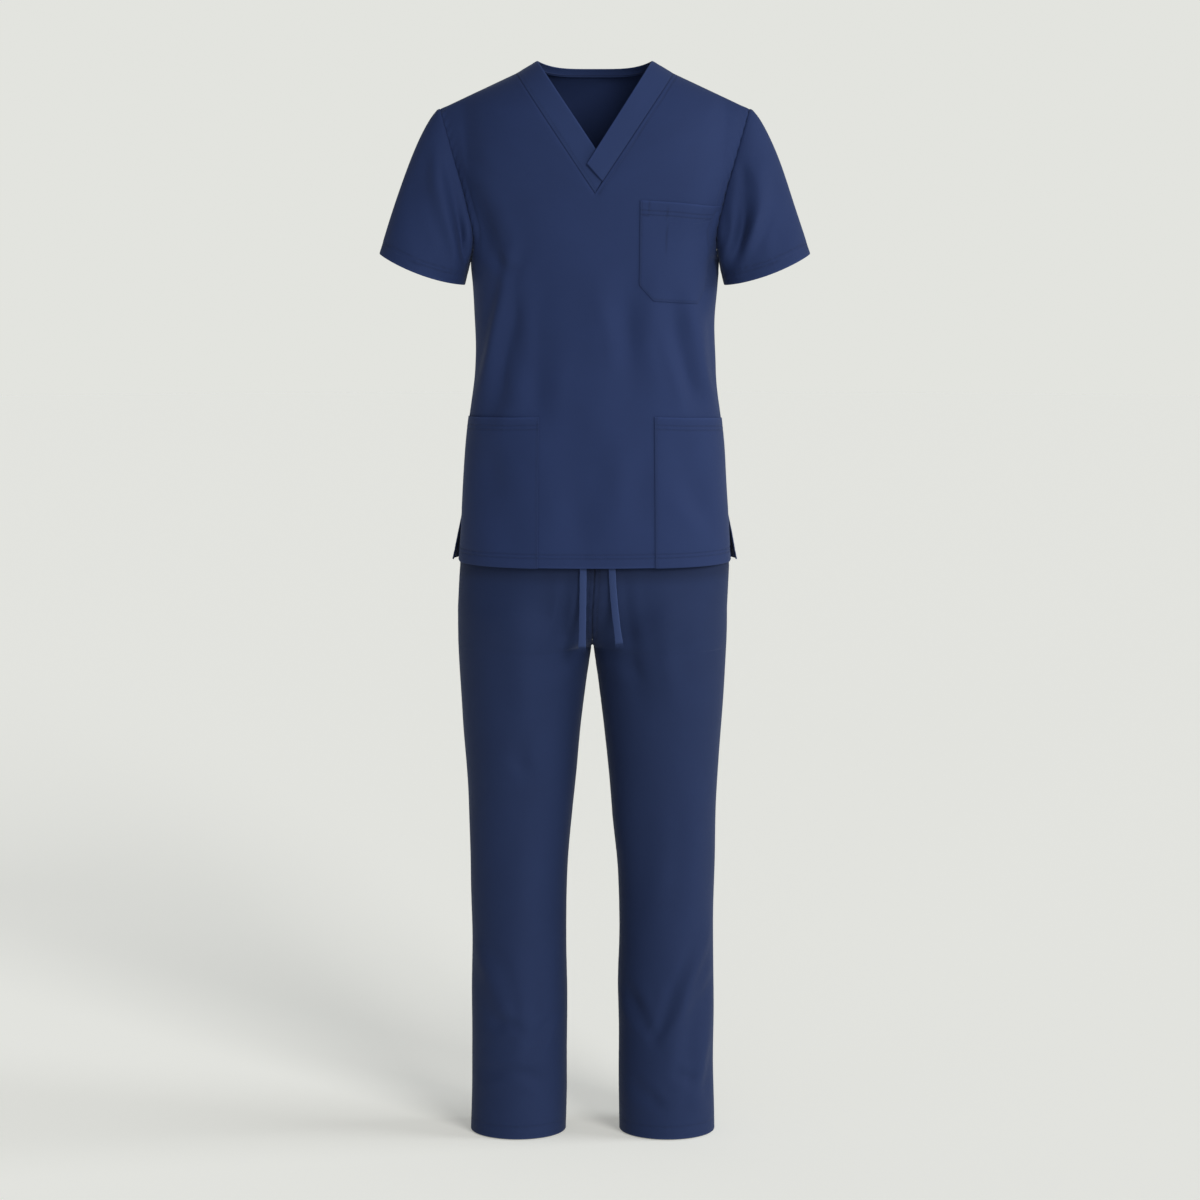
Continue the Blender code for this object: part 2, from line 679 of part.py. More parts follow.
front_panel, armhole = make_torso()
make_sleeve("sleeve_left", armhole, 1)
make_sleeve("sleeve_right", armhole, -1)
make_front_band("neckband_left", 1, over=True)
make_front_band("neckband_right", -1, over=False)
make_back_band()
make_pocket("chest_pocket", front_panel, CHEST_POCKET, 1)
make_pocket("hip_pocket_left", front_panel, HIP_POCKET_LEFT, 1)
make_pocket("hip_pocket_right", front_panel, HIP_POCKET_RIGHT, -1)
for pants_side, wearer_side in ((1, "left"), (-1, "right")):
    make_pants_panel("pants_front_" + wearer_side, True, pants_side)
    make_pants_panel("pants_back_" + wearer_side, False, pants_side)
make_waistband()
make_tape("drawstring_left", TAPE_LEFT)
make_tape("drawstring_right", TAPE_RIGHT)
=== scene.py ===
# %% [markdown]
# # A set of medical scrubs
#
# This lesson dresses a packed set of medical scrubs: a V-neck top with three patch pockets, and trousers
# with a drawstring. Both are filled out as if someone wore them, though nobody does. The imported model
# gives the exact place and size of every piece as a plain stiff wall. Here each wall is replaced by cloth:
# a finely divided sheet on the same form, with its soft folds, turned hems, seams and rows of stitches.
#
# Everything is in metres, except the tables of folds, which are in millimetres. Up is +Z, the wearer
# faces -Y, and the wearer's left is at +X.

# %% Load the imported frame
import math

import bmesh
import bpy
import numpy as np
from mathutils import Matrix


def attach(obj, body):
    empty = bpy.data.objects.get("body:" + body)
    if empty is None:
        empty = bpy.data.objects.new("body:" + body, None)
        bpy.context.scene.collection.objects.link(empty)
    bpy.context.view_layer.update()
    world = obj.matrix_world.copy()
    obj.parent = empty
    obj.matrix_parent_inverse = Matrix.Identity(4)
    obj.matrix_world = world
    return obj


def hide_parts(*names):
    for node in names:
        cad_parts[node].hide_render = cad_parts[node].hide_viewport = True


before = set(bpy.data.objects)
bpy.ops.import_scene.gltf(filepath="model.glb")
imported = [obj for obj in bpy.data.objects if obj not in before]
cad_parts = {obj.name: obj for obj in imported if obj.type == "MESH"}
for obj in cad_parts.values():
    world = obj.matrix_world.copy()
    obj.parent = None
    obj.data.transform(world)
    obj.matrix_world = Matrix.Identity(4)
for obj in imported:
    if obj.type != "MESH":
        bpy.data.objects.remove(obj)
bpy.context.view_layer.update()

# %% [markdown]
# ## Camera
# The set is shown from the front, from chest height and six metres away, with a long lens. A long lens
# keeps the sleeves and the legs free of perspective stretch. The camera looks down a little, so the
# floor carries the shadow of the legs.

# %% Camera
CAMERA_PLACE = (0.0075, -6.0, -0.066)
CAMERA_TILT = 83.214
CAMERA_LENS = 124.3
SENSOR_WIDTH = 36.0

camera_data = bpy.data.cameras.new("camera")
camera_data.lens = CAMERA_LENS
camera_data.sensor_width = SENSOR_WIDTH
camera = bpy.data.objects.new("camera", camera_data)
camera.location = CAMERA_PLACE
camera.rotation_euler = (math.radians(CAMERA_TILT), 0.0, 0.0)
bpy.context.scene.collection.objects.link(camera)
bpy.context.scene.camera = camera

# %% [markdown]
# ## Smooth lines through a few points
# A pattern cutter draws a curve through a few measured points. A natural cubic spline does the same: it
# is the line that a thin bent strip of wood would take. The function below gives a matrix, so that one
# multiplication works for a whole grid of points at once.

# %% Spline helper
def spline_matrix(knots, places):
    """Weights that turn values at the knots into values at the places, on a natural cubic spline."""
    knots = np.asarray(knots, dtype=float)
    places = np.asarray(places, dtype=float)
    count = len(knots)
    gaps = np.diff(knots)
    bend = np.eye(count)
    load = np.zeros((count, count))
    for k in range(1, count - 1):
        bend[k, k - 1 : k + 2] = gaps[k - 1], 2.0 * (gaps[k - 1] + gaps[k]), gaps[k]
        load[k, k - 1 : k + 2] = 6.0 / gaps[k - 1], -6.0 / gaps[k - 1] - 6.0 / gaps[k], 6.0 / gaps[k]
    second = np.linalg.solve(bend, load)
    span = np.clip(np.searchsorted(knots, places, side="right") - 1, 0, count - 2)
    gap = gaps[span]
    before = (knots[span + 1] - places) / gap
    after = (places - knots[span]) / gap
    even = np.eye(count)
    straight = before[:, None] * even[span] + after[:, None] * even[span + 1]
    curved = (before**3 - before)[:, None] * second[span] + (after**3 - after)[:, None] * second[span + 1]
    return straight + curved * (gap**2)[:, None] / 6.0


def hermite(t, step, low, high, low_slope, high_slope):
    """A cubic between two values with given slopes, at the share t of a step."""
    return (
        (2 * t**3 - 3 * t**2 + 1) * low + (t**3 - 2 * t**2 + t) * step * low_slope
        + (3 * t**2 - 2 * t**3) * high + (t**3 - t**2) * step * high_slope
    )


def unit(vectors):
    return vectors / np.linalg.norm(vectors, axis=-1, keepdims=True)


def run_along(points):
    """The distance from a line's first point to each of its points."""
    return np.concatenate(([0.0], np.cumsum(np.linalg.norm(np.diff(points, axis=0), axis=1))))


def points_at(marks, run, points):
    """The points of a line at these distances along it."""
    return np.stack([np.interp(marks, run, points[:, k]) for k in range(points.shape[1])], axis=1)


def smooth_line(points, count):
    """Evenly spaced points on the spline through a few points."""
    points = np.array(points)
    knots = run_along(points)
    return spline_matrix(knots, np.linspace(0.0, knots[-1], count)) @ points


# %% [markdown]
# ## Making a mesh from rows of points
# Every cloth piece here is a grid: rows of points that run across the cloth, one above the other. Each
# piece keeps a UV map named "cloth", in metres along and across the cloth, so the weave follows it, and a
# value named "tone", which lightens rubbed edges and holds painted shade: it darkens the hollow of a seam
# and the groove under a row of stitches, where shade falls.

# %% Mesh helpers
WELD_DISTANCE = 0.00001
SMOOTH_ANGLE = math.radians(60.0)


def grid_faces(rows, columns, flipped):
    """The four-cornered faces of a grid of points, numbered row by row."""
    start = (np.arange(rows - 1)[:, None] * columns + np.arange(columns - 1)[None, :]).ravel()
    faces = np.stack((start, start + 1, start + columns + 1, start + columns), axis=1)
    return faces[:, ::-1] if flipped else faces


def mesh_piece(name, points, faces, uvs, tones, material):
    """A mesh object at the origin, with its cloth UV map and its tone."""
    mesh = bpy.data.meshes.new(name)
    mesh.from_pydata(np.asarray(points).tolist(), [], [list(map(int, face)) for face in faces])
    corner = np.empty(len(mesh.loops), dtype=np.int32)
    mesh.loops.foreach_get("vertex_index", corner)
    layer = mesh.uv_layers.new(name="cloth")
    layer.data.foreach_set("uv", np.asarray(uvs, dtype=np.float32)[corner].ravel())
    tone = mesh.attributes.new("tone", "FLOAT", "POINT")
    tone.data.foreach_set("value", np.asarray(tones, dtype=np.float32))
    mesh.materials.append(material)
    mesh.shade_smooth()
    mesh.update()
    piece = bpy.data.objects.new(name, mesh)
    bpy.context.scene.collection.objects.link(piece)
    return piece


def select_only(piece):
    bpy.ops.object.select_all(action="DESELECT")
    piece.select_set(True)
    bpy.context.view_layer.objects.active = piece


def weld(piece):
    """Joins points that lie on one another, such as the two edges of a tube's seam."""
    shell = bmesh.new()
    shell.from_mesh(piece.data)
    bmesh.ops.remove_doubles(shell, verts=shell.verts, dist=WELD_DISTANCE)
    shell.to_mesh(piece.data)
    shell.free()


def give_wall(piece, thickness):
    """Thickens a sheet inwards with Solidify, and applies it."""
    wall = piece.modifiers.new("wall", "SOLIDIFY")
    wall.thickness = thickness
    wall.offset = -1.0
    select_only(piece)
    bpy.ops.object.modifier_apply(modifier=wall.name)
    bpy.ops.object.shade_smooth_by_angle(angle=SMOOTH_ANGLE)


# %% [markdown]
# ## Cloth
# Scrubs are made of a thin, tightly woven twill of polyester, viscose and a little stretch yarn. Close up
# it shows fine slanting ribs, about one a millimetre, and yarns that differ a little from one another.
# From further off it is matt, with a soft sheen where the surface turns away. The ribs are a sine wave
# across the slanting direction of the UV map, disturbed by noise and used as bump. The colour changes
# slightly from rib to rib and over broad areas, and follows the tone value: lighter at rubbed edges, and
# darker with painted shade in seams and under rows of stitches.

# %% Cloth material
RIB_PITCH = 0.0011
RIB_SLANT = 0.62
RIB_RELIEF = 0.00012
YARN_SCALE = 1300.0
BROAD_SCALE = 14.0
SPECULAR = 0.14
SHEEN_ROUGHNESS = 0.35
SHEEN_TINT = (0.62, 0.72, 0.95, 1.0)


def add_node(tree, kind, **settings):
    node = tree.nodes.new(kind)
    for name, value in settings.items():
        setattr(node, name, value)
    return node


def set_inputs(node, values):
    for name, value in values.items():
        node.inputs[name].default_value = value


def noise(tree, place, scale, detail):
    """The value of a Noise texture on the cloth's UV map."""
    node = add_node(tree, "ShaderNodeTexNoise")
    set_inputs(node, {"Scale": scale, "Detail": detail})
    tree.links.new(place.outputs["UV"], node.inputs["Vector"])
    return node.outputs[0]


def calculate(tree, operation, first, second=None, third=None):
    """A Math node whose inputs are numbers or other nodes' outputs."""
    node = add_node(tree, "ShaderNodeMath", operation=operation)
    for socket, value in zip(node.inputs, (first, second, third)):
        if value is None:
            continue
        if isinstance(value, (int, float)):
            socket.default_value = value
        else:
            tree.links.new(value, socket)
    return node.outputs[0]


def twill(name, color, pitch=RIB_PITCH, slant=RIB_SLANT, rough=0.80, sheen=0.10, bump=0.55):
    """Twill cloth of one colour, whose ribs follow the cloth's own UV map."""
    material = bpy.data.materials.new(name)
    material.use_nodes = True
    tree = material.node_tree
    shader = tree.nodes["Principled BSDF"]
    place = add_node(tree, "ShaderNodeUVMap", uv_map="cloth")
    parts = add_node(tree, "ShaderNodeSeparateXYZ")
    tree.links.new(place.outputs["UV"], parts.inputs[0])

    yarns = noise(tree, place, YARN_SCALE, 2.0)
    slanted = calculate(tree, "MULTIPLY_ADD", parts.outputs["X"], slant, parts.outputs["Y"])
    turns = calculate(tree, "MULTIPLY", slanted, 2.0 * math.pi / pitch)
    turns = calculate(tree, "MULTIPLY_ADD", yarns, 2.2, turns)
    ribs = calculate(tree, "SINE", turns)
    height = calculate(tree, "MULTIPLY_ADD", ribs, 0.5, yarns)
    relief = add_node(tree, "ShaderNodeBump")
    set_inputs(relief, {"Strength": bump, "Distance": RIB_RELIEF})
    tree.links.new(height, relief.inputs["Height"])
    tree.links.new(relief.outputs[0], shader.inputs["Normal"])

    broad = noise(tree, place, BROAD_SCALE, 3.0)
    # The tone attribute lifts rubbed edges and darkens seams and stitch grooves with painted shade.
    tone = add_node(tree, "ShaderNodeAttribute", attribute_name="tone")
    lift = calculate(tree, "MULTIPLY_ADD", ribs, 0.07, 1.0)
    lift = calculate(tree, "MULTIPLY_ADD", yarns, 0.24, lift)
    lift = calculate(tree, "MULTIPLY_ADD", broad, 0.16, lift)
    lift = calculate(tree, "SUBTRACT", lift, 0.20)
    lift = calculate(tree, "MULTIPLY_ADD", tone.outputs["Fac"], 0.5, lift)
    shade = add_node(tree, "ShaderNodeVectorMath", operation="SCALE")
    shade.inputs[0].default_value = color
    tree.links.new(lift, shade.inputs["Scale"])
    tree.links.new(shade.outputs[0], shader.inputs["Base Color"])

    matt = calculate(tree, "MULTIPLY_ADD", yarns, 0.14, rough - 0.07)
    tree.links.new(matt, shader.inputs["Roughness"])
    set_inputs(shader, {"Specular IOR Level": SPECULAR, "Sheen Weight": sheen})
    set_inputs(shader, {"Sheen Roughness": SHEEN_ROUGHNESS, "Sheen Tint": SHEEN_TINT})
    return material


NAVY = (0.0157, 0.0290, 0.0895)
TROUSER_NAVY = (0.0124, 0.0230, 0.0685)
BAND_NAVY = (0.0172, 0.0316, 0.0950)
TAPE_NAVY = (0.0240, 0.0420, 0.1160)
THREAD_NAVY = (0.0200, 0.0362, 0.1040)

panel_cloth = twill("navy_twill", NAVY)
band_cloth = twill("navy_band_twill", BAND_NAVY, slant=-0.62)
pocket_cloth = twill("navy_pocket_twill", NAVY, slant=0.66)
trouser_cloth = twill("navy_trouser_twill", TROUSER_NAVY, slant=0.60)
tape_cloth = twill("navy_tape", TAPE_NAVY, pitch=0.0014, slant=0.9, rough=0.7, bump=0.9)
thread = twill("navy_thread", THREAD_NAVY, pitch=0.0005, slant=1.5, rough=0.55, sheen=0.1, bump=0.5)
print("cloth materials:", len(bpy.data.materials))

# %% [markdown]
# ## Drawstring
# The trousers close with a flat woven tape that runs in the waistband and comes out through two
# buttonholes beside the centre seam. Its two ends hang free below the hem of the top, each about
# 0.27 metres long, in a slow curve over the belly. A flat tape is a ring of points with rounded edges,
# swept along the route: one ring for each point of a smooth line. The ends are cut and a little frayed.

# %% Drawstring ends
TAPE_WIDTH = 0.010
TAPE_THICKNESS = 0.0015
TAPE_LEFT = (
    (0.0180, -0.1075, -0.5660), (0.0200, -0.1127, -0.6100), (0.0225, -0.1165, -0.6600),
    (0.0240, -0.1184, -0.7000), (0.0262, -0.1190, -0.7500), (0.0300, -0.1187, -0.7900),
    (0.0350, -0.1180, -0.8290),
)
TAPE_RIGHT = (
    (-0.0150, -0.1075, -0.5660), (-0.0158, -0.1127, -0.6100), (-0.0160, -0.1165, -0.6600),
    (-0.0163, -0.1184, -0.7000), (-0.0168, -0.1190, -0.7500), (-0.0174, -0.1187, -0.7900),
    (-0.0182, -0.1180, -0.8340),
)
TAPE_RINGS = 70
TAPE_SIDES = 16


def tube_faces(first, rings, sides):
    """The faces of a closed tube, whose rings of points follow the point numbered first."""
    faces = []
    for k in range(rings - 1):
        for j in range(sides):
            a, b = first + k * sides + j, first + k * sides + (j + 1) % sides
            faces.append((a, b, b + sides, a + sides))
    faces.append(tuple(range(first, first + sides))[::-1])
    faces.append(tuple(range(first + (rings - 1) * sides, first + rings * sides)))
    return faces


def tape_frames(centres, twist):
    """For each point of the route: the ways along, across and out of the tape."""
    ways = unit(np.gradient(centres, axis=0))
    wide = unit(np.cross(ways, (0.0, 1.0, 0.0)))
    out = np.cross(ways, wide)
    share = np.linspace(0.0, 1.0, len(centres))
    turn = twist * np.sin(math.pi * share) ** 2
    cos, sin = np.cos(turn)[:, None], np.sin(turn)[:, None]
    return ways, wide * cos + out * sin, out * cos - wide * sin


def make_tape(name, route, twist, node):
    centres = smooth_line(route, TAPE_RINGS)
    ways, wide, out = tape_frames(centres, twist)
    length = np.linalg.norm(np.diff(centres, axis=0), axis=1).sum()
    around = np.linspace(0.0, 2.0 * math.pi, TAPE_SIDES, endpoint=False)
    across = np.sign(np.cos(around)) * np.abs(np.cos(around)) ** 0.35
    thick = np.sign(np.sin(around)) * np.abs(np.sin(around)) ** 0.7
    share = np.linspace(0.0, 1.0, TAPE_RINGS)
    flare = 1.0 + 0.16 * np.clip((share - 0.94) / 0.06, 0.0, 1.0) ** 2
    waver = 1.0 + 0.02 * np.sin(share * 61.0) + 0.015 * np.sin(share * 143.0)
    points = []
    uvs = []
    for k in range(TAPE_RINGS):
        half = TAPE_WIDTH / 2.0 * flare[k] * waver[k]
        cup = 0.0004 * (across**2 - 0.5) * math.sin(5.0 * share[k] + 1.0)
        ring = centres[k] + wide[k] * (across * half)[:, None]
        points.append(ring + out[k] * (thick * TAPE_THICKNESS / 2.0 + cup)[:, None])
        uvs.append(np.stack((across * half, np.full(TAPE_SIDES, share[k] * length)), axis=1))
    points = np.concatenate(points)
    uvs = np.concatenate(uvs)
    faces = tube_faces(0, TAPE_RINGS, TAPE_SIDES)
    edge = 0.25 * (np.abs(uvs[:, 0]) > TAPE_WIDTH * 0.42)
    tape = mesh_piece(name, points, faces, uvs, edge, tape_cloth)
    outward(tape)
    fray = make_fray(name + "_fray", centres[-1], ways[-1], wide[-1], out[-1])
    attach(tape, "root")
    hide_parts(node)
    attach(fray, "root")
    print(name, "is", round(float(length), 3), "m long")


def outward(piece):
    """Turns the faces of a closed shell outwards."""
    shell = bmesh.new()
    shell.from_mesh(piece.data)
    bmesh.ops.recalc_face_normals(shell, faces=shell.faces)
    shell.to_mesh(piece.data)
    shell.free()


def make_fray(name, end, way, wide, out):
    """The loose yarns at a tape's cut end: thin tapering tubes that spread and curl a little."""
    points, faces, uvs = [], [], []
    sides, rings, yarns = 5, 6, 22
    for yarn in range(yarns):
        across = (yarn + 0.5) / yarns * 2.0 - 1.0
        reach = 0.0045 + 0.0022 * math.sin(yarn * 2.4) + 0.0012 * math.sin(yarn * 5.1 + 1.0)
        start = end + wide * across * TAPE_WIDTH * 0.55 + out * 0.0004 * math.sin(yarn * 3.3) - way * 0.001
        spread = wide * (across * 0.16 + 0.10 * math.sin(yarn * 4.7)) + out * 0.14 * math.sin(yarn * 1.9)
        for k in range(rings):
            t = k / (rings - 1)
            centre = start + way * (reach + 0.001) * t + spread * reach * t * t
            radius = 0.00026 * (1.0 - 0.55 * t)
            for j in range(sides):
                turn = 2.0 * math.pi * j / sides
                points.append(centre + wide * radius * math.cos(turn) + out * radius * math.sin(turn))
                uvs.append((across * TAPE_WIDTH / 2.0, reach * t))
        faces += tube_faces(yarn * sides * rings, rings, sides)
    fray = mesh_piece(name, points, faces, uvs, np.zeros(len(points)), thread)
    outward(fray)
    return fray


make_tape("left_drawstring", TAPE_LEFT, 0.10, "drawstring_left")
make_tape("right_drawstring", TAPE_RIGHT, -0.12, "drawstring_right")

# %% [markdown]
# ## The form of the top
# A pattern for a top is a few measured rows: half the width, the depth of the chest and the depth of the
# back at some heights. These tables are the ones that the stiff pieces were made from. A first, coarse
# grid of points is worked out from them; each point is given by its height and by its angle round the
# body, 0 at the centre line and 90 at the side seam. Above the chest the rows fan over to the shoulder.

# %% Tables of the top
HEM_Z = -0.720
SLIT_Z = -0.640
NECK_TIP_Z = -0.187
SLIT_FLARE = 0.0095
SQUARENESS = 0.2
TORSO = {
    "z": (-0.720, -0.640, -0.560, -0.480, -0.400, -0.345, -0.287, -0.187),
    "half_width": (0.1975, 0.1925, 0.1875, 0.1795, 0.1755, 0.1765, 0.1790, 0.2000),
    "front": (0.1280, 0.1268, 0.1240, 0.1200, 0.1180, 0.1190, 0.1200, 0.1180),
    "back": (0.1260, 0.1245, 0.1170, 0.1040, 0.0970, 0.1000, 0.1080, 0.1180),
}
TORSO_ROWS = (
    -0.720, -0.680, -0.640, -0.600, -0.560, -0.520, -0.480, -0.440, -0.400, -0.360, -0.322, -0.287,
)
ARMHOLE = {
    "z": (-0.279, -0.262, -0.240, -0.215, -0.187),
    "front_angle": (80.0, 73.0, 69.5, 69.5, 70.0),
    "back_angle": (81.0, 75.0, 72.0, 71.5, 71.5),
}
FRONT_COLUMNS = (0.0, 10.0, 20.5, 27.0, 38.0, 49.0, 61.0, 71.0, 81.0, 90.0)
BACK_COLUMNS = (0.0, 7.2, 14.4, 21.6, 28.8, 36.0, 48.0, 60.0, 71.0, 81.0, 90.0)
FREE_COLUMN = 61.0
FAN = (18.0, 36.0, 53.0, 68.0, 81.0, 90.0)
HIGH_SHOULDER_X = 0.082
SHOULDER = {"x": (0.082, 0.113, 0.222), "z": (0.0, -0.018, -0.069)}
FRONT_SEAM_X = 0.113
BACK_SEAM_X = 0.0915
SHOULDER_TIP_X = 0.222
NECK_SHARE = 0.4
BACK_NECK_Y = 0.0715
BACK_NECK_Z = -0.0205
NECK_LEAN = 60.0


def column_at(table, name, z):
    """One column of a table at height z, as a smooth curve through its rows (cubic, Hermite form)."""
    heights = np.array(table["z"])
    values = np.array(table[name])
    order = np.argsort(heights)
    heights, values = heights[order], values[order]
    slopes = np.gradient(values, heights)
    z = min(max(z, heights[0]), heights[-1])
    row = min(int(np.searchsorted(heights, z, side="right")) - 1, len(heights) - 2)
    step = heights[row + 1] - heights[row]
    t = (z - heights[row]) / step
    return float(hermite(t, step, values[row], values[row + 1], slopes[row], slopes[row + 1]))


def section(z, turn, front, table=TORSO):
    """A point of the section at height z, turned so far round the body from its centre line."""
    square = 1.0 + SQUARENESS * math.sin(turn) ** 2
    y = column_at(table, "front" if front else "back", z) * math.cos(turn) * square
    return np.array((column_at(table, "half_width", z) * math.sin(turn), -y if front else y, z))


def squeezed(angle, armhole_angle):
    if angle <= FREE_COLUMN:
        return angle
    return FREE_COLUMN + (angle - FREE_COLUMN) * (armhole_angle - FREE_COLUMN) / (90.0 - FREE_COLUMN)


def shoulder_z(x):
    return float(np.interp(x, SHOULDER["x"], SHOULDER["z"]))


def back_top(share):
    """A point on the top edge of the back, from the centre (0) to the shoulder tip (1), and its lean."""
    if share < NECK_SHARE:
        turn = math.radians(90.0 * share / NECK_SHARE)
        z = BACK_NECK_Z + (shoulder_z(BACK_SEAM_X) - BACK_NECK_Z) * math.sin(turn) ** 4
        lean = NECK_LEAN + (90.0 - NECK_LEAN) * share / NECK_SHARE
        return np.array((BACK_SEAM_X * math.sin(turn), BACK_NECK_Y * math.cos(turn), z)), lean
    x = BACK_SEAM_X + (SHOULDER_TIP_X - BACK_SEAM_X) * (share - NECK_SHARE) / (1.0 - NECK_SHARE)
    return np.array((x, 0.0, shoulder_z(x))), 90.0


def front_top(share):
    """A point on the shoulder seam of the front, from the neckband (0) to the shoulder tip (1)."""
    x = FRONT_SEAM_X + (SHOULDER_TIP_X - FRONT_SEAM_X) * share
    return np.array((x, 0.0, shoulder_z(x))), 90.0


def over_shoulder(low, high, lean, share):
    top = math.radians(lean)
    turn = top * share
    rise = math.sin(turn) / math.sin(top)
    y = low[1] + (high[1] - low[1]) * (1.0 - math.cos(turn)) / (1.0 - math.cos(top))
    return np.array((low[0] + (high[0] - low[0]) * rise, y, low[2] + (high[2] - low[2]) * rise))


def torso_half(front):
    """The coarse grid of the front or the back, on the wearer's left."""
    columns = FRONT_COLUMNS if front else BACK_COLUMNS
    top = front_top if front else back_top
    rows = []
    for z in TORSO_ROWS:
        row = [section(z, math.radians(angle), front) for angle in columns]
        if not front and z < SLIT_Z:
            flare = SLIT_FLARE * (SLIT_Z - z) / (SLIT_Z - HEM_Z)
            for angle, point in zip(columns, row):
                point[0] += flare * math.sin(math.radians(angle)) ** 6
        rows.append(row)
    for z, armhole in zip(ARMHOLE["z"], ARMHOLE["front_angle" if front else "back_angle"]):
        rows.append([section(z, math.radians(squeezed(angle, armhole)), front) for angle in columns])
    low_row = rows[-1]
    for degrees in FAN:
        row = []
        for angle, low in zip(columns, low_row):
            high, lean = top(angle / 90.0)
            row.append(over_shoulder(low, high, lean, degrees / 90.0))
        rows.append(row)
    return np.array(rows)


print("coarse front grid:", torso_half(True).shape[:2])

# %% [markdown]
# ## From the coarse form to fine cloth
# The coarse grid becomes fine by two splines, one along its rows and one along its columns. The rows are
# closer together where something small happens: at a turned edge, or beside a row of stitches. What the
# cloth does on top of its form is written as a height above it, made of a few parts:
#
# - soft folds, each from one point to another, with its own bow, width and depth;
# - a slow unevenness, since no worn cloth is quite smooth;
# - an edge that rolls in at a seam or a hem, a groove under each row of stitches, and the small puckers
#   that the thread draws up beside it.

# %% Fine grids
EDGE_STEPS = (0.0, 0.0003, 0.0008, 0.0015, 0.0027)
LINE_STEPS = (-0.0019, -0.0009, 0.0, 0.0009, 0.0019)
CLEAR_OF_LINE = 0.0026
CLEAR_OF_EDGE = 0.0042


def places(length, step, lines=(), low_edge=True, high_edge=True):
    """Positions along a length: evenly spaced, and closer at its ends and at its rows of stitches."""
    marks = list(np.linspace(0.0, length, int(round(length / step)) + 1))
    for line in lines:
        marks = [mark for mark in marks if abs(mark - line) > CLEAR_OF_LINE]
        marks += [line + offset for offset in LINE_STEPS]
    if low_edge:
        marks = [mark for mark in marks if mark > CLEAR_OF_EDGE] + list(EDGE_STEPS)
    if high_edge:
        marks = [mark for mark in marks if mark < length - CLEAR_OF_EDGE]
        marks += [length - step_in for step_in in EDGE_STEPS]
    return np.array(sorted(marks))


def lengths(points, axis):
    """The distance along a grid's columns (axis 0) or rows (axis 1), from its first row or column."""
    steps = np.cumsum(np.linalg.norm(np.diff(points, axis=axis), axis=2), axis=axis)
    return np.insert(steps, 0, 0.0, axis=axis)


def mean_knots(points, axis):
    return lengths(points, axis).mean(axis=1 - axis)


def steady_rows(values, knots, marks):
    """A smooth curve along a grid's rows that never swings past its own points."""
    steps = np.diff(knots)[:, None, None]
    rise = np.diff(values, axis=0) / steps
    never_flat = np.where(rise == 0.0, 1e-9, rise)
    low, high = never_flat[:-1], never_flat[1:]
    low_weight, high_weight = 2.0 * steps[1:] + steps[:-1], steps[1:] + 2.0 * steps[:-1]
    slopes = np.zeros(values.shape)
    slopes[0], slopes[-1] = rise[0], rise[-1]
    same = low * high > 0.0
    blend = low_weight / low + high_weight / high
    slopes[1:-1] = np.where(same, (low_weight + high_weight) / np.where(same, blend, 1.0), 0.0)
    row = np.clip(np.searchsorted(knots, marks, side="right") - 1, 0, len(knots) - 2)
    step = steps[row]
    t = (marks - knots[row])[:, None, None] / step
    return hermite(t, step, values[row], values[row + 1], slopes[row], slopes[row + 1])


def outward_normals(points, inside):
    normals = np.cross(np.gradient(points, axis=1), np.gradient(points, axis=0))
    normals /= np.linalg.norm(normals, axis=2)[..., None] + 1e-12
    sign = 1.0 if ((points - inside) * normals).sum() > 0.0 else -1.0
    return normals * sign, sign < 0.0


def join_ends(normals):
    """Gives the two edges of a tube's seam the same normals."""
    normals[:, 0] = normals[:, -1] = unit(normals[:, 0] + normals[:, -1])


def lay_out(points, inside, tube=False):
    """A fine grid with its distances along and across, and its outward normals."""
    normals, flipped = outward_normals(points, inside)
    if tube:
        join_ends(normals)
    return {
        "form": points, "points": points, "normals": normals, "flipped": flipped, "tube": tube,
        "up": lengths(points, 0), "across": lengths(points, 1), "inside": inside,
        "tone": np.zeros(points.shape[:2]),
    }


def raise_cloth(grid, height):
    """Moves each point out (+) or in (-), and works out the new normals."""
    grid["points"] = grid["form"] + grid["normals"] * height[..., None]
    normals, _ = outward_normals(grid["points"], grid["inside"])
    if grid["tube"]:
        join_ends(normals)
    grid["normals"] = normals


def at(values, row, column):
    """A grid's value between its points, at a row and a column that needn't be whole numbers."""
    row = np.clip(np.asarray(row, dtype=float), 0.0, values.shape[0] - 1.000001)
    column = np.clip(np.asarray(column, dtype=float), 0.0, values.shape[1] - 1.000001)
    r, c = row.astype(int), column.astype(int)
    fr, fc = row - r, column - c
    if values.ndim == 3:
        fr, fc = fr[..., None], fc[..., None]
    low = values[r, c] * (1.0 - fc) + values[r, c + 1] * fc
    high = values[r + 1, c] * (1.0 - fc) + values[r + 1, c + 1] * fc
    return low * (1.0 - fr) + high * fr


# %% Heights of folds, edges and stitch lines
FOLD_DEPTH = 1.6
SEAM_ROLL = (0.0008, 0.0024)
SHOULDER_ROLL = (0.0008, 0.0022)
NECK_ROLL = (0.0008, 0.0020)
HEM_ROLL = (0.0004, 0.0010)


def smooth_step(values):
    values = np.clip(values, 0.0, 1.0)
    return values * values * (3.0 - 2.0 * values)


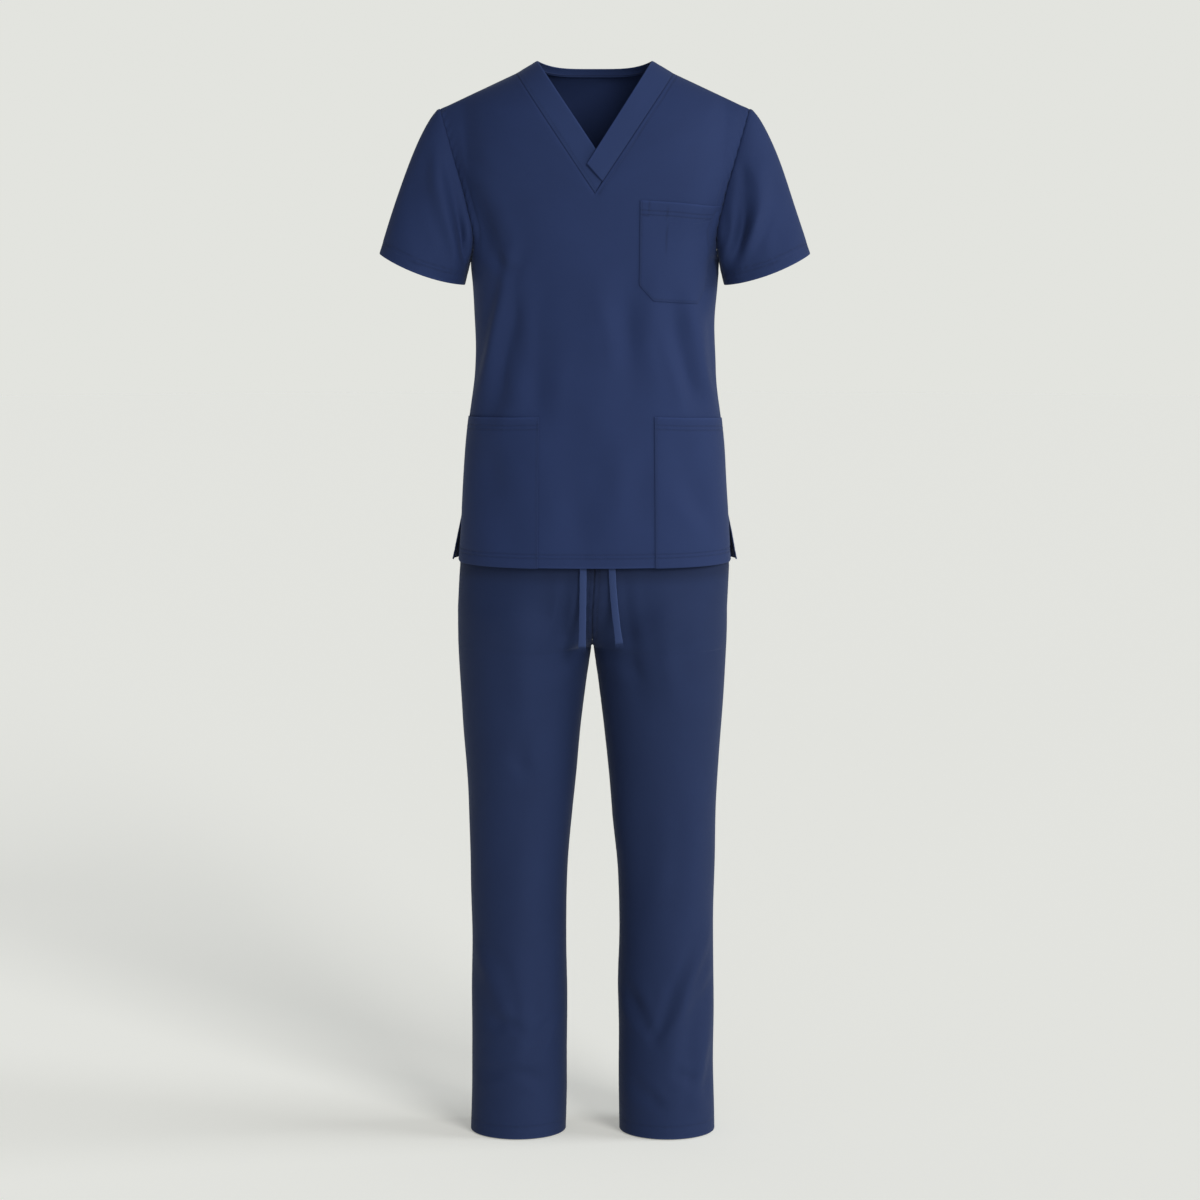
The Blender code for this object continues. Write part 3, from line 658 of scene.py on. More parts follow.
def soft_folds(points, folds):
    """The height of a table of folds, each one: x, z to x, z, bow, half width and height in millimetres,
    and 1 for the front, -1 for the back or 0 for both."""
    x, y, z = points[..., 0], points[..., 1], points[..., 2]
    total = np.zeros(x.shape)
    for number, (*millimetres, facing) in enumerate(folds):
        x0, z0, x1, z1, bow, half_width, height = (value / 1000.0 for value in millimetres)
        way_x, way_z = x1 - x0, z1 - z0
        length = math.hypot(way_x, way_z)
        along = ((x - x0) * way_x + (z - z0) * way_z) / length**2
        inner = np.clip(along, 0.0, 1.0)
        across = ((x - x0) * way_z - (z - z0) * way_x) / length - bow * 4.0 * inner * (1.0 - inner)
        fade = smooth_step((along + 0.30) / 0.62) * smooth_step((1.30 - along) / 0.62)
        width = half_width * (1.0 + 0.22 * np.sin(4.3 * along + 1.7 * number))
        q = np.abs(across) / width
        profile = np.exp(-(q**2)) - 0.30 * np.exp(-(((q - 1.9) / 0.85) ** 2))
        uneven = 1.0 + 0.25 * np.sin(6.1 * along + 2.3 * number)
        window = 1.0 if facing == 0 else smooth_step(-facing * y / 0.045)
        total += FOLD_DEPTH * height * fade * profile * uneven * window
    return total


def drift(points):
    """The slow unevenness of worn cloth, the same function for every piece, so that seams still meet."""
    x, y, z = points[..., 0], points[..., 1], points[..., 2]
    slow = np.sin(23.0 * x + 11.0 * z + 6.0 * y + 0.6) * np.sin(17.0 * z - 7.0 * x + 5.0 * y + 1.1)
    quick = np.sin(43.0 * z + 13.0 * x - 9.0 * y + 2.0) * np.sin(39.0 * x - 9.0 * z + 11.0 * y)
    return 0.0008 * slow + 0.00035 * quick


def rolled(distance, depth=0.0006, reach=0.0016):
    """An edge that turns in where it is sewn or folded."""
    return -depth * np.clip(1.0 - distance / reach, 0.0, 1.0) ** 2


def stitched(distance, line, along, groove=0.00030, pull=0.00022, reach=0.0042):
    """The groove under a row of stitches, and the puckers beside it."""
    wave = np.sin(along * 750.0 + 1.9 * np.sin(along * 201.0))
    wave *= 0.6 + 0.4 * np.sin(along * 109.0 + 1.0)
    off = distance - line
    return -groove * np.exp(-((off / 0.0010) ** 2)) + pull * wave * np.exp(-((off / reach) ** 2))


def rubbed(distance, reach=0.0020, amount=0.35):
    """The tone of an edge that has rubbed a little lighter."""
    return amount * np.clip(1.0 - np.abs(distance - 0.0012) / reach, 0.0, 1.0)


def shaded(distance, line, amount=0.45):
    """Painted shade: a darker tone in the groove under a row of stitches."""
    return -amount * np.exp(-(((distance - line) / 0.0009) ** 2))


def painted_seam_shade(distance, reach=0.0013, amount=0.5):
    """Painted shade: a darker tone along the hollow of a seam, where shade falls."""
    return -amount * np.clip(1.0 - distance / reach, 0.0, 1.0)


# %% [markdown]
# ## Stitches
# The seams of scrubs are topstitched in thread of the same navy, about three stitches to a centimetre.
# One stitch is modelled once, from a small sphere that is drawn out in edit mode, and copied along each
# row. A stitch has only a few faces, since there are thousands of them, and all the rows on one panel
# are joined into one mesh.

# %% One stitch, and rows of it
STITCH_PITCH = 0.0033
STITCH_LENGTH = 0.0025
STITCH_WIDTH = 0.00055
STITCH_HEIGHT = 0.00045
STITCH_NEAR = 0.0008
STITCH_BOW = 0.00022

bpy.ops.object.select_all(action="DESELECT")
bpy.ops.mesh.primitive_uv_sphere_add(segments=6, ring_count=5, radius=0.5)
bpy.ops.object.mode_set(mode="EDIT")
bpy.ops.mesh.select_all(action="SELECT")
bpy.ops.transform.resize(value=(STITCH_HEIGHT, STITCH_WIDTH, STITCH_LENGTH))
bpy.ops.object.mode_set(mode="OBJECT")
one_stitch = bpy.context.object
raw = np.array([vertex.co for vertex in one_stitch.data.vertices])
stitch_points = np.stack((raw[:, 2], raw[:, 1], raw[:, 0]), axis=1)
stitch_points[:, 2] -= STITCH_BOW * (stitch_points[:, 0] / (STITCH_LENGTH / 2.0)) ** 2
stitch_faces = [tuple(face.vertices)[::-1] for face in one_stitch.data.polygons]
bpy.data.objects.remove(one_stitch)
print("one stitch:", len(stitch_points), "points,", len(stitch_faces), "faces")


def sew(name, rows, pitch=STITCH_PITCH, size=1.0):
    """Lays the stitch along each row; a row is its points and the normals there."""
    centres, ways, outs = [], [], []
    for line, normals in rows:
        run = run_along(line)
        count = int((run[-1] - pitch * 0.4) / pitch)
        if count < 1:
            continue
        spots = (np.arange(count) + 0.5) * (run[-1] / count)
        centres.append(points_at(spots, run, line))
        ways.append(points_at(spots + STITCH_NEAR, run, line) - points_at(spots - STITCH_NEAR, run, line))
        outs.append(points_at(spots, run, normals))
    centres, ways, outs = np.concatenate(centres), np.concatenate(ways), unit(np.concatenate(outs))
    ways = unit(ways - outs * (ways * outs).sum(axis=1)[:, None])
    sides = np.cross(outs, ways)
    number = np.arange(len(centres))
    skew = 0.07 * np.sin(number * 12.9898)[:, None]
    ways, sides = ways + sides * skew, sides - ways * skew
    centres = centres + sides * 0.00008 * np.sin(number * 7.233)[:, None] + outs * 0.00005
    shape = stitch_points * size
    points = (
        centres[:, None] + ways[:, None] * shape[None, :, :1]
        + sides[:, None] * shape[None, :, 1:2] + outs[:, None] * shape[None, :, 2:]
    ).reshape(-1, 3)
    faces = [tuple(k + first for k in face) for first in number * len(shape) for face in stitch_faces]
    uvs = np.tile(shape[:, :2], (len(centres), 1)) + np.repeat(number * 0.0037, len(shape))[:, None]
    piece = mesh_piece(name, points, faces, uvs, np.zeros(len(points)), thread)
    outward(piece)
    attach(piece, "root")
    print(name, "has", len(centres), "stitches")


def row_on(grid, row, column):
    """A row of stitches on a grid, at given rows and columns, as points and normals."""
    row, column = np.broadcast_arrays(np.asarray(row, float), np.asarray(column, float))
    return at(grid["points"], row, column), at(grid["normals"], row, column)


def along_hem(grid, distance, first=0.0, last=None, from_top=False):
    """A row at a distance from the grid's first row, or from its last one."""
    count = grid["up"].shape[1]
    columns = np.linspace(first, count - 1 if last is None else last, count)
    rows = []
    for column in columns:
        run = at(grid["up"], np.arange(grid["up"].shape[0]), np.full(grid["up"].shape[0], column))
        target = run[-1] - distance if from_top else distance
        rows.append(np.interp(target, run, np.arange(len(run))))
    return row_on(grid, rows, columns)


def along_side(grid, distance, low, high, from_last=True):
    """A row at a distance from the grid's last column, or from its first, between two rows."""
    rows = np.linspace(low, high, 160)
    columns = []
    for row in rows:
        count = grid["across"].shape[1]
        run = at(grid["across"], np.full(count, row), np.arange(count))
        target = run[-1] - distance if from_last else distance
        columns.append(np.interp(target, run, np.arange(count)))
    return row_on(grid, rows, columns)


# %% Sheets with a wall
CLOTH = 0.0011
TUCK_REACH = 0.0022
TUCK_DEPTH = 0.0015


def tuck_under(grid, edge):
    """Adds a narrow seam allowance to a grid's edge: it runs on past the seam, just inside the next panel."""
    turned = edge in ("low", "high")
    axis = 0 if turned else 1
    first, second = (0, 1) if edge in ("low", "first") else (-1, -2)
    pick = (lambda values, k: values[k]) if turned else (lambda values, k: values[:, k])
    end, before = pick(grid["points"], first), pick(grid["points"], second)
    way = (end - before) / (np.linalg.norm(end - before, axis=1)[:, None] + 1e-9)
    reach = np.where(end[:, 2] < SLIT_Z, grid.get("low_reach", TUCK_REACH), TUCK_REACH)[:, None]
    beyond = end + way * reach - pick(grid["normals"], first) * TUCK_DEPTH
    # The tucked allowance gets painted shade: its tone is 0.3 darker than the edge it continues.
    extra = {
        "points": beyond, "normals": pick(grid["normals"], first), "tone": pick(grid["tone"], first) - 0.3,
        "up": pick(grid["up"], first), "across": pick(grid["across"], first),
    }
    step = TUCK_REACH if first else -TUCK_REACH
    extra["up" if turned else "across"] = extra["up" if turned else "across"] + step
    padded = dict(grid)
    for name, values in extra.items():
        row = np.expand_dims(values, axis)
        parts = (row, grid[name]) if first == 0 else (grid[name], row)
        padded[name] = np.concatenate(parts, axis=axis)
    return padded


def sheet_piece(name, grids, material, node, wall=CLOTH):
    """One cloth piece of one or more grids, welded, with its wall."""
    points, faces, uvs, tones = [], [], [], []
    first = 0
    for grid in grids:
        for edge in grid.get("tucks", ()):
            grid = tuck_under(grid, edge)
        rows, columns = grid["points"].shape[:2]
        mirrored = -1.0 if grid.get("side", 1) < 0 else 1.0
        points.append(grid["points"].reshape(-1, 3))
        faces.append(grid_faces(rows, columns, grid["flipped"]) + first)
        uvs.append(np.stack((grid["across"] * mirrored, grid["up"]), axis=2).reshape(-1, 2))
        tones.append(grid["tone"].ravel())
        first += rows * columns
    piece = mesh_piece(
        name, np.concatenate(points), np.concatenate(faces), np.concatenate(uvs),
        np.concatenate(tones), material,
    )
    weld(piece)
    surface = sum(face.area for face in piece.data.polygons)
    give_wall(piece, wall)
    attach(piece, "root")
    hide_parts(node)
    triangles = sum(len(face.vertices) - 2 for face in piece.data.polygons)
    print(name, "cloth", round(surface, 4), "m2,", triangles, "triangles")


# %% [markdown]
# ## Front and back of the top
# The front is one piece with a V cut into it; the back is one piece too, and its sides open into short
# slits above the hem. The left half of each is worked out, and the right half is its mirror image, but
# the folds lie differently on the two halves, as they do on a real body. The folds are the ones a worn
# top has: drag lines from the armpits down the sides, shallow troughs below the chest, and slack in the
# small of the back.

# %% Folds of the top
TOP_FOLDS = (
    (134, -345, 166, -475, 4, 11, 3, 1), (115, -350, 146, -490, 4, 13, -3, 1),
    (-134, -345, -170, -495, -4, 11, 3, 1), (-114, -350, -150, -500, -4, 14, -3, 1),
    (-78, -330, -81, -500, 3, 20, -2.6, 1), (48, -310, 56, -460, 3, 19, -2.8, 1),
    (5, -330, 0, -520, 2, 26, 1.4, 1), (-183, -175, -136, -262, 6, 14, -3.2, 1),
    (-172, -235, -120, -300, 5, 11, -2.4, 1), (-118, -262, -134, -372, 2, 10, 2, 1),
    (183, -180, 140, -262, -6, 14, -2.6, 1), (177, -262, 150, -345, -4, 10, -1.8, 1),
    (-30, -520, -20, -690, 4, 26, -1.8, 1), (40, -540, 34, -700, 3, 22, 1.4, 1),
    (-150, -560, -120, -690, 6, 20, -2, 1), (120, -545, 165, -660, 6, 16, -2.2, 1),
    (52, -330, 22, -520, 6, 24, -4.2, -1), (-46, -340, -30, -540, -4, 22, -3.8, -1),
    (108, -360, 124, -550, 5, 20, -3.4, -1), (-104, -350, -116, -560, -6, 22, -3.6, -1),
    (76, -380, 74, -540, 0, 12, 2.4, -1), (168, -240, 112, -352, 6, 16, -3.4, -1),
    (-168, -235, -118, -362, -6, 15, -3.6, -1), (150, -300, 80, -372, 8, 14, -2.6, -1),
    (-148, -290, -70, -350, -8, 15, -2.6, -1), (10, -100, 6, -260, 0, 30, -1.6, -1),
    (-80, -600, -95, -700, 0, 20, -2, -1), (70, -590, 90, -705, 0, 22, -2, -1),
    (176, -350, 178, -480, 4, 12, -1.6, 0), (-176, -340, -179, -500, -4, 12, -1.6, 0),
)
TOP_HEM_STITCHES = (0.0140, 0.0195)
SLIT_STITCH = 0.006
NECK_STITCH = 0.0062
BACK_NECK_STITCH = 0.0060
NECK_END_ANGLE = 36.0
GAP = 0.00012
TOP_CELL = (0.0050, 0.0032)
NECK_REACH = 0.08
SHOULDER_REACH = 0.06


def fine_torso(front):
    """The fine form of the left half of the front or the back, and the angles of its columns."""
    control, other = torso_half(front), torso_half(not front)
    angles = list(FRONT_COLUMNS if front else BACK_COLUMNS)
    seam = len(TORSO_ROWS)
    whole = seam + len(ARMHOLE["z"])
    mirror = np.array((-1.0, 1.0, 1.0))
    near, far = control[:, 1] * mirror, control[:, 2] * mirror
    if front:
        near[whole:] = 2.0 * control[whole:, 0] - control[whole:, 1]
        far[whole:] = 2.0 * near[whole:] - control[whole:, 0]
    past, further = other[:, -2].copy(), other[:, -3].copy()
    past[seam:] = 2.0 * control[seam:, -1] - control[seam:, -2]
    further[seam:] = 2.0 * past[seam:] - control[seam:, -1]
    wide = np.concatenate(
        (far[:, None], near[:, None], control, past[:, None], further[:, None]), axis=1
    )
    wide_angles = [-angles[2], -angles[1], *angles, 99.0, 109.0]
    row_knots = mean_knots(control, 0)
    column_knots = mean_knots(wide[:seam], 1)
    start, end = column_knots[2], column_knots[-3]
    length = row_knots[-1]
    rows = places(length, TOP_CELL[0], lines=TOP_HEM_STITCHES)
    for knot in (row_knots[seam - 1], row_knots[whole - 1]):
        rows = np.array(sorted([row for row in rows if abs(row - knot) > 0.0015] + [knot]))
    columns = places(end - start, TOP_CELL[1], lines=(end - start - SLIT_STITCH,), low_edge=front) + start
    by_column = spline_matrix(column_knots, columns)
    fine = np.einsum("ab,bcd,ec->aed", spline_matrix(row_knots, rows), wide, by_column)
    steady = np.einsum("acd,ec->aed", steady_rows(wide, row_knots, rows), by_column)
    sideness = smooth_step((columns - end + 0.090) / 0.070)
    lowness = smooth_step((row_knots[seam - 1] + 0.022 - rows) / 0.022)
    share = (lowness[:, None] * sideness[None, :])[..., None]
    fine = fine * (1.0 - share) + steady * share
    fine_angles = np.clip(by_column @ np.array(wide_angles), 0.0, 90.0)
    fine_angles[0], fine_angles[-1] = 0.0, 90.0
    tip_row = int(np.argmin(np.abs(rows - row_knots[whole - 1])))
    armpit_row = int(np.argmin(np.abs(rows - row_knots[seam - 1])))

    target = np.zeros(len(rows))
    if front:
        rise = (fine[:, 0, 2] - NECK_TIP_Z) / (shoulder_z(FRONT_SEAM_X) - NECK_TIP_Z)
        target = FRONT_SEAM_X * np.clip(rise, 0.0, 1.0)
        target[: tip_row + 1] = 0.0
    shift = target - fine[:, 0, 0]
    reach = np.clip(1.0 - (columns - start) / NECK_REACH, 0.0, 1.0) ** 2
    fine[:, :, 0] += shift[:, None] * reach[None, :]
    top_of = front_top if front else back_top
    top = np.array([top_of(angle / 90.0)[0] for angle in fine_angles])
    blend = np.clip(1.0 - (length - rows) / SHOULDER_REACH, 0.0, 1.0) ** 2
    fine += (top - fine[-1])[None] * blend[:, None, None]
    fine[-1, :, 1] += -GAP if front else GAP
    fine[: armpit_row + 1, -1, 1] += -GAP if front else GAP
    if front:
        fine[tip_row + 1 :, 0, 0] += GAP
    return fine, fine_angles, tip_row, armpit_row


def neck_distance(points, side):
    """How far points of the front are from the V of the neck, seen from the front."""
    tip = np.array((0.0, NECK_TIP_Z))
    way = np.array((FRONT_SEAM_X * side, shoulder_z(FRONT_SEAM_X))) - tip
    flat = points[..., [0, 2]] - tip
    share = np.clip((flat @ way) / (way @ way), 0.0, 1.0)
    return np.linalg.norm(flat - share[..., None] * way, axis=-1)


def torso_grid(front, side):
    fine, angles, tip_row, armpit_row = fine_torso(front)
    fine = fine * np.array((side, 1.0, 1.0))
    inside = fine.mean(axis=1, keepdims=True) * np.array((0.0, 0.0, 1.0))
    grid = lay_out(fine, inside)
    joined_rows = tip_row + 1 if front else None
    centre = grid["normals"][:joined_rows, 0]
    centre[:, 0] = 0.0
    centre[:] = unit(centre)
    up, across = grid["up"], grid["across"]
    from_side = across[:, -1:] - across
    from_top = up[-1:] - up
    above = np.arange(len(up))[:, None] > armpit_row - 4
    free = np.where(above, smooth_step(from_side / 0.014), 1.0) * smooth_step(from_top / 0.012)
    if front:
        free = free * smooth_step(neck_distance(fine, side) / 0.012)
    height = (drift(fine) + soft_folds(fine, TOP_FOLDS)) * free
    height += rolled(from_side, *SEAM_ROLL) * np.where(above, 0.5, 1.0) + rolled(up, *HEM_ROLL)
    for line in TOP_HEM_STITCHES:
        height += stitched(up, line, across)
    # Painted shade darkens the side, shoulder and neck seams and the grooves under the stitches; the hem and
    # edges are rubbed lighter.
    tone = rubbed(up) + painted_seam_shade(from_side) + rubbed(from_side - 0.0012, amount=0.15)
    for line in TOP_HEM_STITCHES:
        tone = tone + shaded(up, line)
    slit = smooth_step((0.085 - up) / 0.01)
    height += slit * stitched(from_side, SLIT_STITCH, up)
    shoulder = 1.0 if front else smooth_step((angles - 34.0) / 4.0)[None, :]
    height += rolled(from_top, *SHOULDER_ROLL) * shoulder
    tone += painted_seam_shade(from_top) * shoulder
    if front:
        from_neck = neck_distance(fine, side)
        height += rolled(from_neck, *NECK_ROLL)
        tone += painted_seam_shade(from_neck) + rubbed(from_neck - 0.001, amount=0.2)
        if side > 0:
            height += stitched(from_neck, NECK_STITCH, up)
            tone += shaded(from_neck, NECK_STITCH, 0.6)
        armhole = np.exp(-((from_side / 0.010) ** 2)) * (up > up[armpit_row])
        height += 0.0006 * np.sin(up * 380.0) * armhole
    else:
        neck_edge = rolled(from_top, 0.0006, 0.0016) + stitched(from_top, BACK_NECK_STITCH, across)
        height += (1.0 - shoulder) * neck_edge
        tone += painted_seam_shade(from_top) * (1.0 - shoulder)
    raise_cloth(grid, height)
    grid["points"][:joined_rows, 0, 0] = 0.0
    grid["tone"] = tone
    grid.update(side=side, angles=angles, tip_row=tip_row, armpit_row=armpit_row)
    if not front:
        grid.update(tucks=("last", "high"), low_reach=0.0003)
    return grid


front_left = torso_grid(True, 1)
front_right = torso_grid(True, -1)
back_left = torso_grid(False, 1)
back_right = torso_grid(False, -1)
for name, grids, node, flat, area, other in (
    ("front_cloth", (front_left, front_right), "top_front", (0.560, 0.770), 0.325, "top_back"),
    ("back_cloth", (back_left, back_right), "top_back", (0.560, 0.800), 0.342, "top_front"),
):
    sheet_piece(name, grids, panel_cloth, node)

# %% [markdown]
# ## Sleeves
# A set-in sleeve is cut flat with a rounded cap and sewn into the armhole. Filled out, it is a short tube
# that runs from the armhole's closed curve to an oval hem. Each row of the grid is a mixture of the two,
# and the rows near the top swell outwards as the cap does over a shoulder. The sleeves have the
# deepest folds of the top, because the spare cloth under the arm hangs in troughs.

# %% Sleeve tables
SLEEVE_OUTER = (0.311, -0.276)
SLEEVE_INNER = (0.187, -0.321)
SLEEVE_DEPTH = 0.0625
SLEEVE_Y = -0.005
SLEEVE_DROP = 0.006
CAP_RISE = 0.012
CAP_SWELL = 0.007
CAP_WAY = np.array((0.78, 0.0, 0.62))
SLEEVE_POINTS = 150
SLEEVE_TUCK = 0.0045
SLEEVE_TUCK_DEPTH = 0.0020
SLEEVE_HEM_STITCHES = (0.0145, 0.0200)
SLEEVE_FOLDS = (
    (-224, -135, -201, -262, 4, 10, 3.4, 1), (-207, -140, -186, -275, 3, 10, -3.6, 1),
    (-192, -200, -178, -300, 2, 8, -3, 1), (-262, -160, -246, -262, 4, 16, -1.8, 1),
    (236, -160, 221, -262, -4, 10, 3.6, 1), (216, -205, 192, -295, -4, 9, -4.4, 1),
    (205, -140, 213, -215, -3, 10, -2, 1), (268, -175, 262, -268, -4, 15, -1.6, 1),
    (-222, -140, -202, -270, 4, 12, -3.6, -1), (-242, -150, -226, -262, 4, 10, 2.6, -1),
    (220, -150, 200, -280, -4, 12, -3.8, -1), (244, -160, 230, -262, -4, 10, 2.6, -1),
)


def even_loop(points, count):
    run = run_along(points)
    return points_at(np.linspace(0.0, run[-1], count), run, points)


def sleeve_grid(side):
    first = front_left["armpit_row"]
    front_edge = front_left["form"][first:, -1]
    back_edge = back_left["form"][back_left["armpit_row"] :, -1]
    half = SLEEVE_POINTS // 2
    loop = np.concatenate((even_loop(front_edge, half + 1), even_loop(back_edge, half + 1)[-2::-1]))
    turn = np.linspace(0.0, 2.0 * math.pi, len(loop))
    outer = np.array((SLEEVE_OUTER[0], 0.0, SLEEVE_OUTER[1]))
    inner = np.array((SLEEVE_INNER[0], 0.0, SLEEVE_INNER[1]))
    hem = (outer + inner) / 2.0 + (inner - outer) / 2.0 * np.cos(turn)[:, None]
    hem[:, 1] = SLEEVE_Y - SLEEVE_DEPTH * np.sin(turn)
    hem[:, 2] -= SLEEVE_DROP * np.sin(turn) ** 2
    highness = (loop[:, 2] - loop[:, 2].min()) / np.ptp(loop[:, 2])
    frontness = -loop[:, 1] / np.abs(loop[:, 1]).max()
    run = float(np.linalg.norm(hem - loop, axis=1).mean())
    marks = places(run, 0.0042, lines=[run - line for line in SLEEVE_HEM_STITCHES])
    rings = []
    for share in marks / run:
        swell = math.sin(math.pi * share**0.6) if share > 0.0 else 0.0
        ring = loop * (1.0 - share) + hem * share
        ring = ring + CAP_RISE * swell * highness[:, None] ** 2 * CAP_WAY
        ring[:, 1] -= CAP_SWELL * swell * frontness
        rings.append(ring)
    away = unit(rings[2] - rings[0])
    rings[0] = rings[0] + away * 2.0 * GAP
    rings[0][:, 0] += 2.0 * GAP * (1.0 - highness) ** 4
    tucked = rings[0] - away * SLEEVE_TUCK
    tucked[:, 1] += SLEEVE_TUCK_DEPTH * frontness
    tucked[:, 2] -= SLEEVE_TUCK_DEPTH * highness**4
    rings.insert(0, tucked)
    points = np.array(rings) * np.array((side, 1.0, 1.0))
    grid = lay_out(points, points.mean(axis=1, keepdims=True), tube=True)
    up, across = grid["up"], grid["across"]
    from_hem = up[-1:] - up
    start = np.clip(up - SLEEVE_TUCK, 0.0, None)
    height = drift(points) * smooth_step(start / 0.02)
    height += soft_folds(points, SLEEVE_FOLDS) * smooth_step(start / 0.03)
    height += rolled(np.abs(up - SLEEVE_TUCK), 0.0003, 0.0022) + rolled(from_hem, *HEM_ROLL)
    height += 0.0007 * np.exp(-(((up - 0.0105) / 0.004) ** 2)) * highness[None, :]
    for line in SLEEVE_HEM_STITCHES:
        height += stitched(from_hem, line, across)
    under = np.minimum(across, across[:, -1:] - across)
    height += -0.0005 * np.exp(-((under / 0.0012) ** 2))
    raise_cloth(grid, height)
    # Painted shade in the armhole seam, the underarm seam and the hem's stitch grooves; the hem is rubbed
    # lighter.
    grid["tone"] = painted_seam_shade(np.abs(up - SLEEVE_TUCK)) + rubbed(from_hem) + painted_seam_shade(under, amount=0.35)
    for line in SLEEVE_HEM_STITCHES:
        grid["tone"] += shaded(from_hem, line)
    grid["side"] = side
    return grid


left_sleeve = sleeve_grid(1)
right_sleeve = sleeve_grid(-1)
for side_name, grid in (("left", left_sleeve), ("right", right_sleeve)):
    sheet_piece(
        side_name + "_sleeve_cloth", (grid,), panel_cloth, "sleeve_" + side_name,
    )

# %% [markdown]
# ## Neckband
# The V is finished with a band of doubled cloth. It is folded along its inner edge, sewn to the top along
# its outer edge, and the wearer's left side laps over the right one at the point of the V. Each band is
# a narrow grid whose outer edge is taken from the edge of the front itself, so that the two meet.
# The doubled cloth is a little fuller than a single layer, so the band rises between its edges.

# %% Bands
BAND_CLOTH = 0.0013
CHEST_Y = -0.118
UNDER_BAND_END = (0.0204, -0.1530)
OVER_BAND_END = (-0.0111, -0.1453)
OVER_BAND_CORNER = (0.0110, -0.1703)
UNDER_REACH = 0.72
OVER_REACH = 0.80
BAND_RUN = 0.200
BAND_CLOSE_COLUMNS = (0.0, 0.01, 0.03, 0.06, 0.14, 0.17, 0.20, 0.94, 0.97, 0.99, 1.0)
BAND_STITCH = 0.0046
BAND_RISE = 0.00045
BAND_SEAM_ROLL = (0.0007, 0.0018)
BAND_FOLD_ROLL = (0.0007, 0.0012)
LAP = 0.0030
UNDER_DIP = 0.0010
BACK_BAND_Y = 0.0680
BACK_BAND_Z = -0.0110
BACK_BAND_SHARES = (-0.30, -0.12, 0.0, 0.04, 0.10, 0.22, 0.40, 0.60, 0.78, 0.90, 0.96, 1.0)


def band_grid(side, over):
    """A front band: rows from the shoulder to the V's point, columns from its seam to its fold."""
    edge = front_left["form"][front_left["tip_row"] :, 0]
    rows = places(BAND_RUN, 0.0030)
    if over:
        seam_end, edge_end, reach = OVER_BAND_CORNER, OVER_BAND_END, OVER_REACH
    else:
        seam_end, reach = (0.0, NECK_TIP_Z), UNDER_REACH
        edge_end = (-UNDER_BAND_END[0], UNDER_BAND_END[1])
    columns = places(1.0, 0.09, low_edge=False, high_edge=False)
    columns = np.array(sorted([*columns[1:-1], *BAND_CLOSE_COLUMNS]))
    points = np.zeros((len(rows), len(columns), 3))
    for k, share in enumerate(rows / BAND_RUN):
        seam_z = shoulder_z(FRONT_SEAM_X) + (seam_end[1] - shoulder_z(FRONT_SEAM_X)) * share
        seam_x = FRONT_SEAM_X + (seam_end[0] - FRONT_SEAM_X) * share
        seam_y = float(np.interp(seam_z, edge[:, 2], edge[:, 1]))
        fold_x = HIGH_SHOULDER_X + (edge_end[0] - HIGH_SHOULDER_X) * share
        left = 1.0 - reach * share
        fold = np.array((fold_x, CHEST_Y * math.sqrt(max(0.0, 1.0 - left**2)), edge_end[1] * share))
        seam = np.array((seam_x, seam_y, seam_z))
        seam = seam + unit(fold - seam) * 2.0 * GAP
        lap = LAP * max(0.0, share - 0.5) * 2.0 if over else 0.0
        dip = 0.0 if over else UNDER_DIP * float(smooth_step((share - 0.80) / 0.16))
        row = seam + (fold - seam) * columns[:, None]
        row[:, 1] += dip * smooth_step(columns / 0.45) - lap * (0.5 + 0.5 * columns)
        points[k] = row
    points[0, :, 1] -= GAP
    points *= np.array((side, 1.0, 1.0))
    band = lay_out(points, np.array((0.0, 0.10, -0.25)))
    up, across = band["up"], band["across"]
    from_fold = across[:, -1:] - across
    height = BAND_RISE * np.sin(math.pi * np.clip(columns, 0.0, 1.0))[None, :] ** 0.7
    height = height + drift(points) * smooth_step(across / 0.01) * smooth_step(up / 0.02)
    height += rolled(across, *BAND_SEAM_ROLL) + rolled(from_fold, *BAND_FOLD_ROLL)
    height += rolled(up, *BAND_SEAM_ROLL)
    if over:
        height += rolled(up[-1:] - up, 0.0007, 0.0014)
    else:
        height += stitched(across, BAND_STITCH, up)
    raise_cloth(band, height)
    # Painted shade in the band's seams and stitch groove; the folded edge is rubbed lighter.
    band["tone"] = painted_seam_shade(across) + rubbed(from_fold, amount=0.45) + painted_seam_shade(up)
    if not over:
        band["tone"] += shaded(across, BAND_STITCH)
    band.update(side=side, tucks=("first", "low"))
    return band


def back_band_grid(side):
    columns = back_left["angles"] <= NECK_END_ANGLE + 0.01
    angles = back_left["angles"][columns]
    seam = back_left["form"][-1, columns] + np.array((0.0, -GAP, 0.0))
    turn = np.radians(angles / NECK_SHARE)
    fold_z = BACK_BAND_Z * (1.0 - np.sin(turn) ** 4)
    fold = np.stack((HIGH_SHOULDER_X * np.sin(turn), BACK_BAND_Y * np.cos(turn), fold_z), axis=1)
    seam = seam + unit(fold - seam) * 2.0 * GAP
    shares = np.array(BACK_BAND_SHARES)
    points = seam[None] + (fold - seam)[None] * shares[:, None, None]
    points[:2, :, 1] -= 0.0016
    points[0, :, 1] -= 0.0004
    points = points * np.array((side, 1.0, 1.0))
    band = lay_out(points, np.array((0.0, 0.0, -0.06)))
    up = band["up"]
    from_fold = up[-1:] - up
    height = 0.0004 * np.sin(math.pi * np.clip(shares, 0.0, 1.0))[:, None] + np.zeros(up.shape)
    height += rolled(from_fold, 0.0006, 0.0012)
    raise_cloth(band, height)
    band["points"][:, 0, 0] = 0.0
    # Painted shade along the back band's seam; the fold is rubbed lighter.
    band["tone"] = painted_seam_shade(np.abs(up - up[2:3])) + rubbed(from_fold, amount=0.45)
    band["side"] = side
    return band


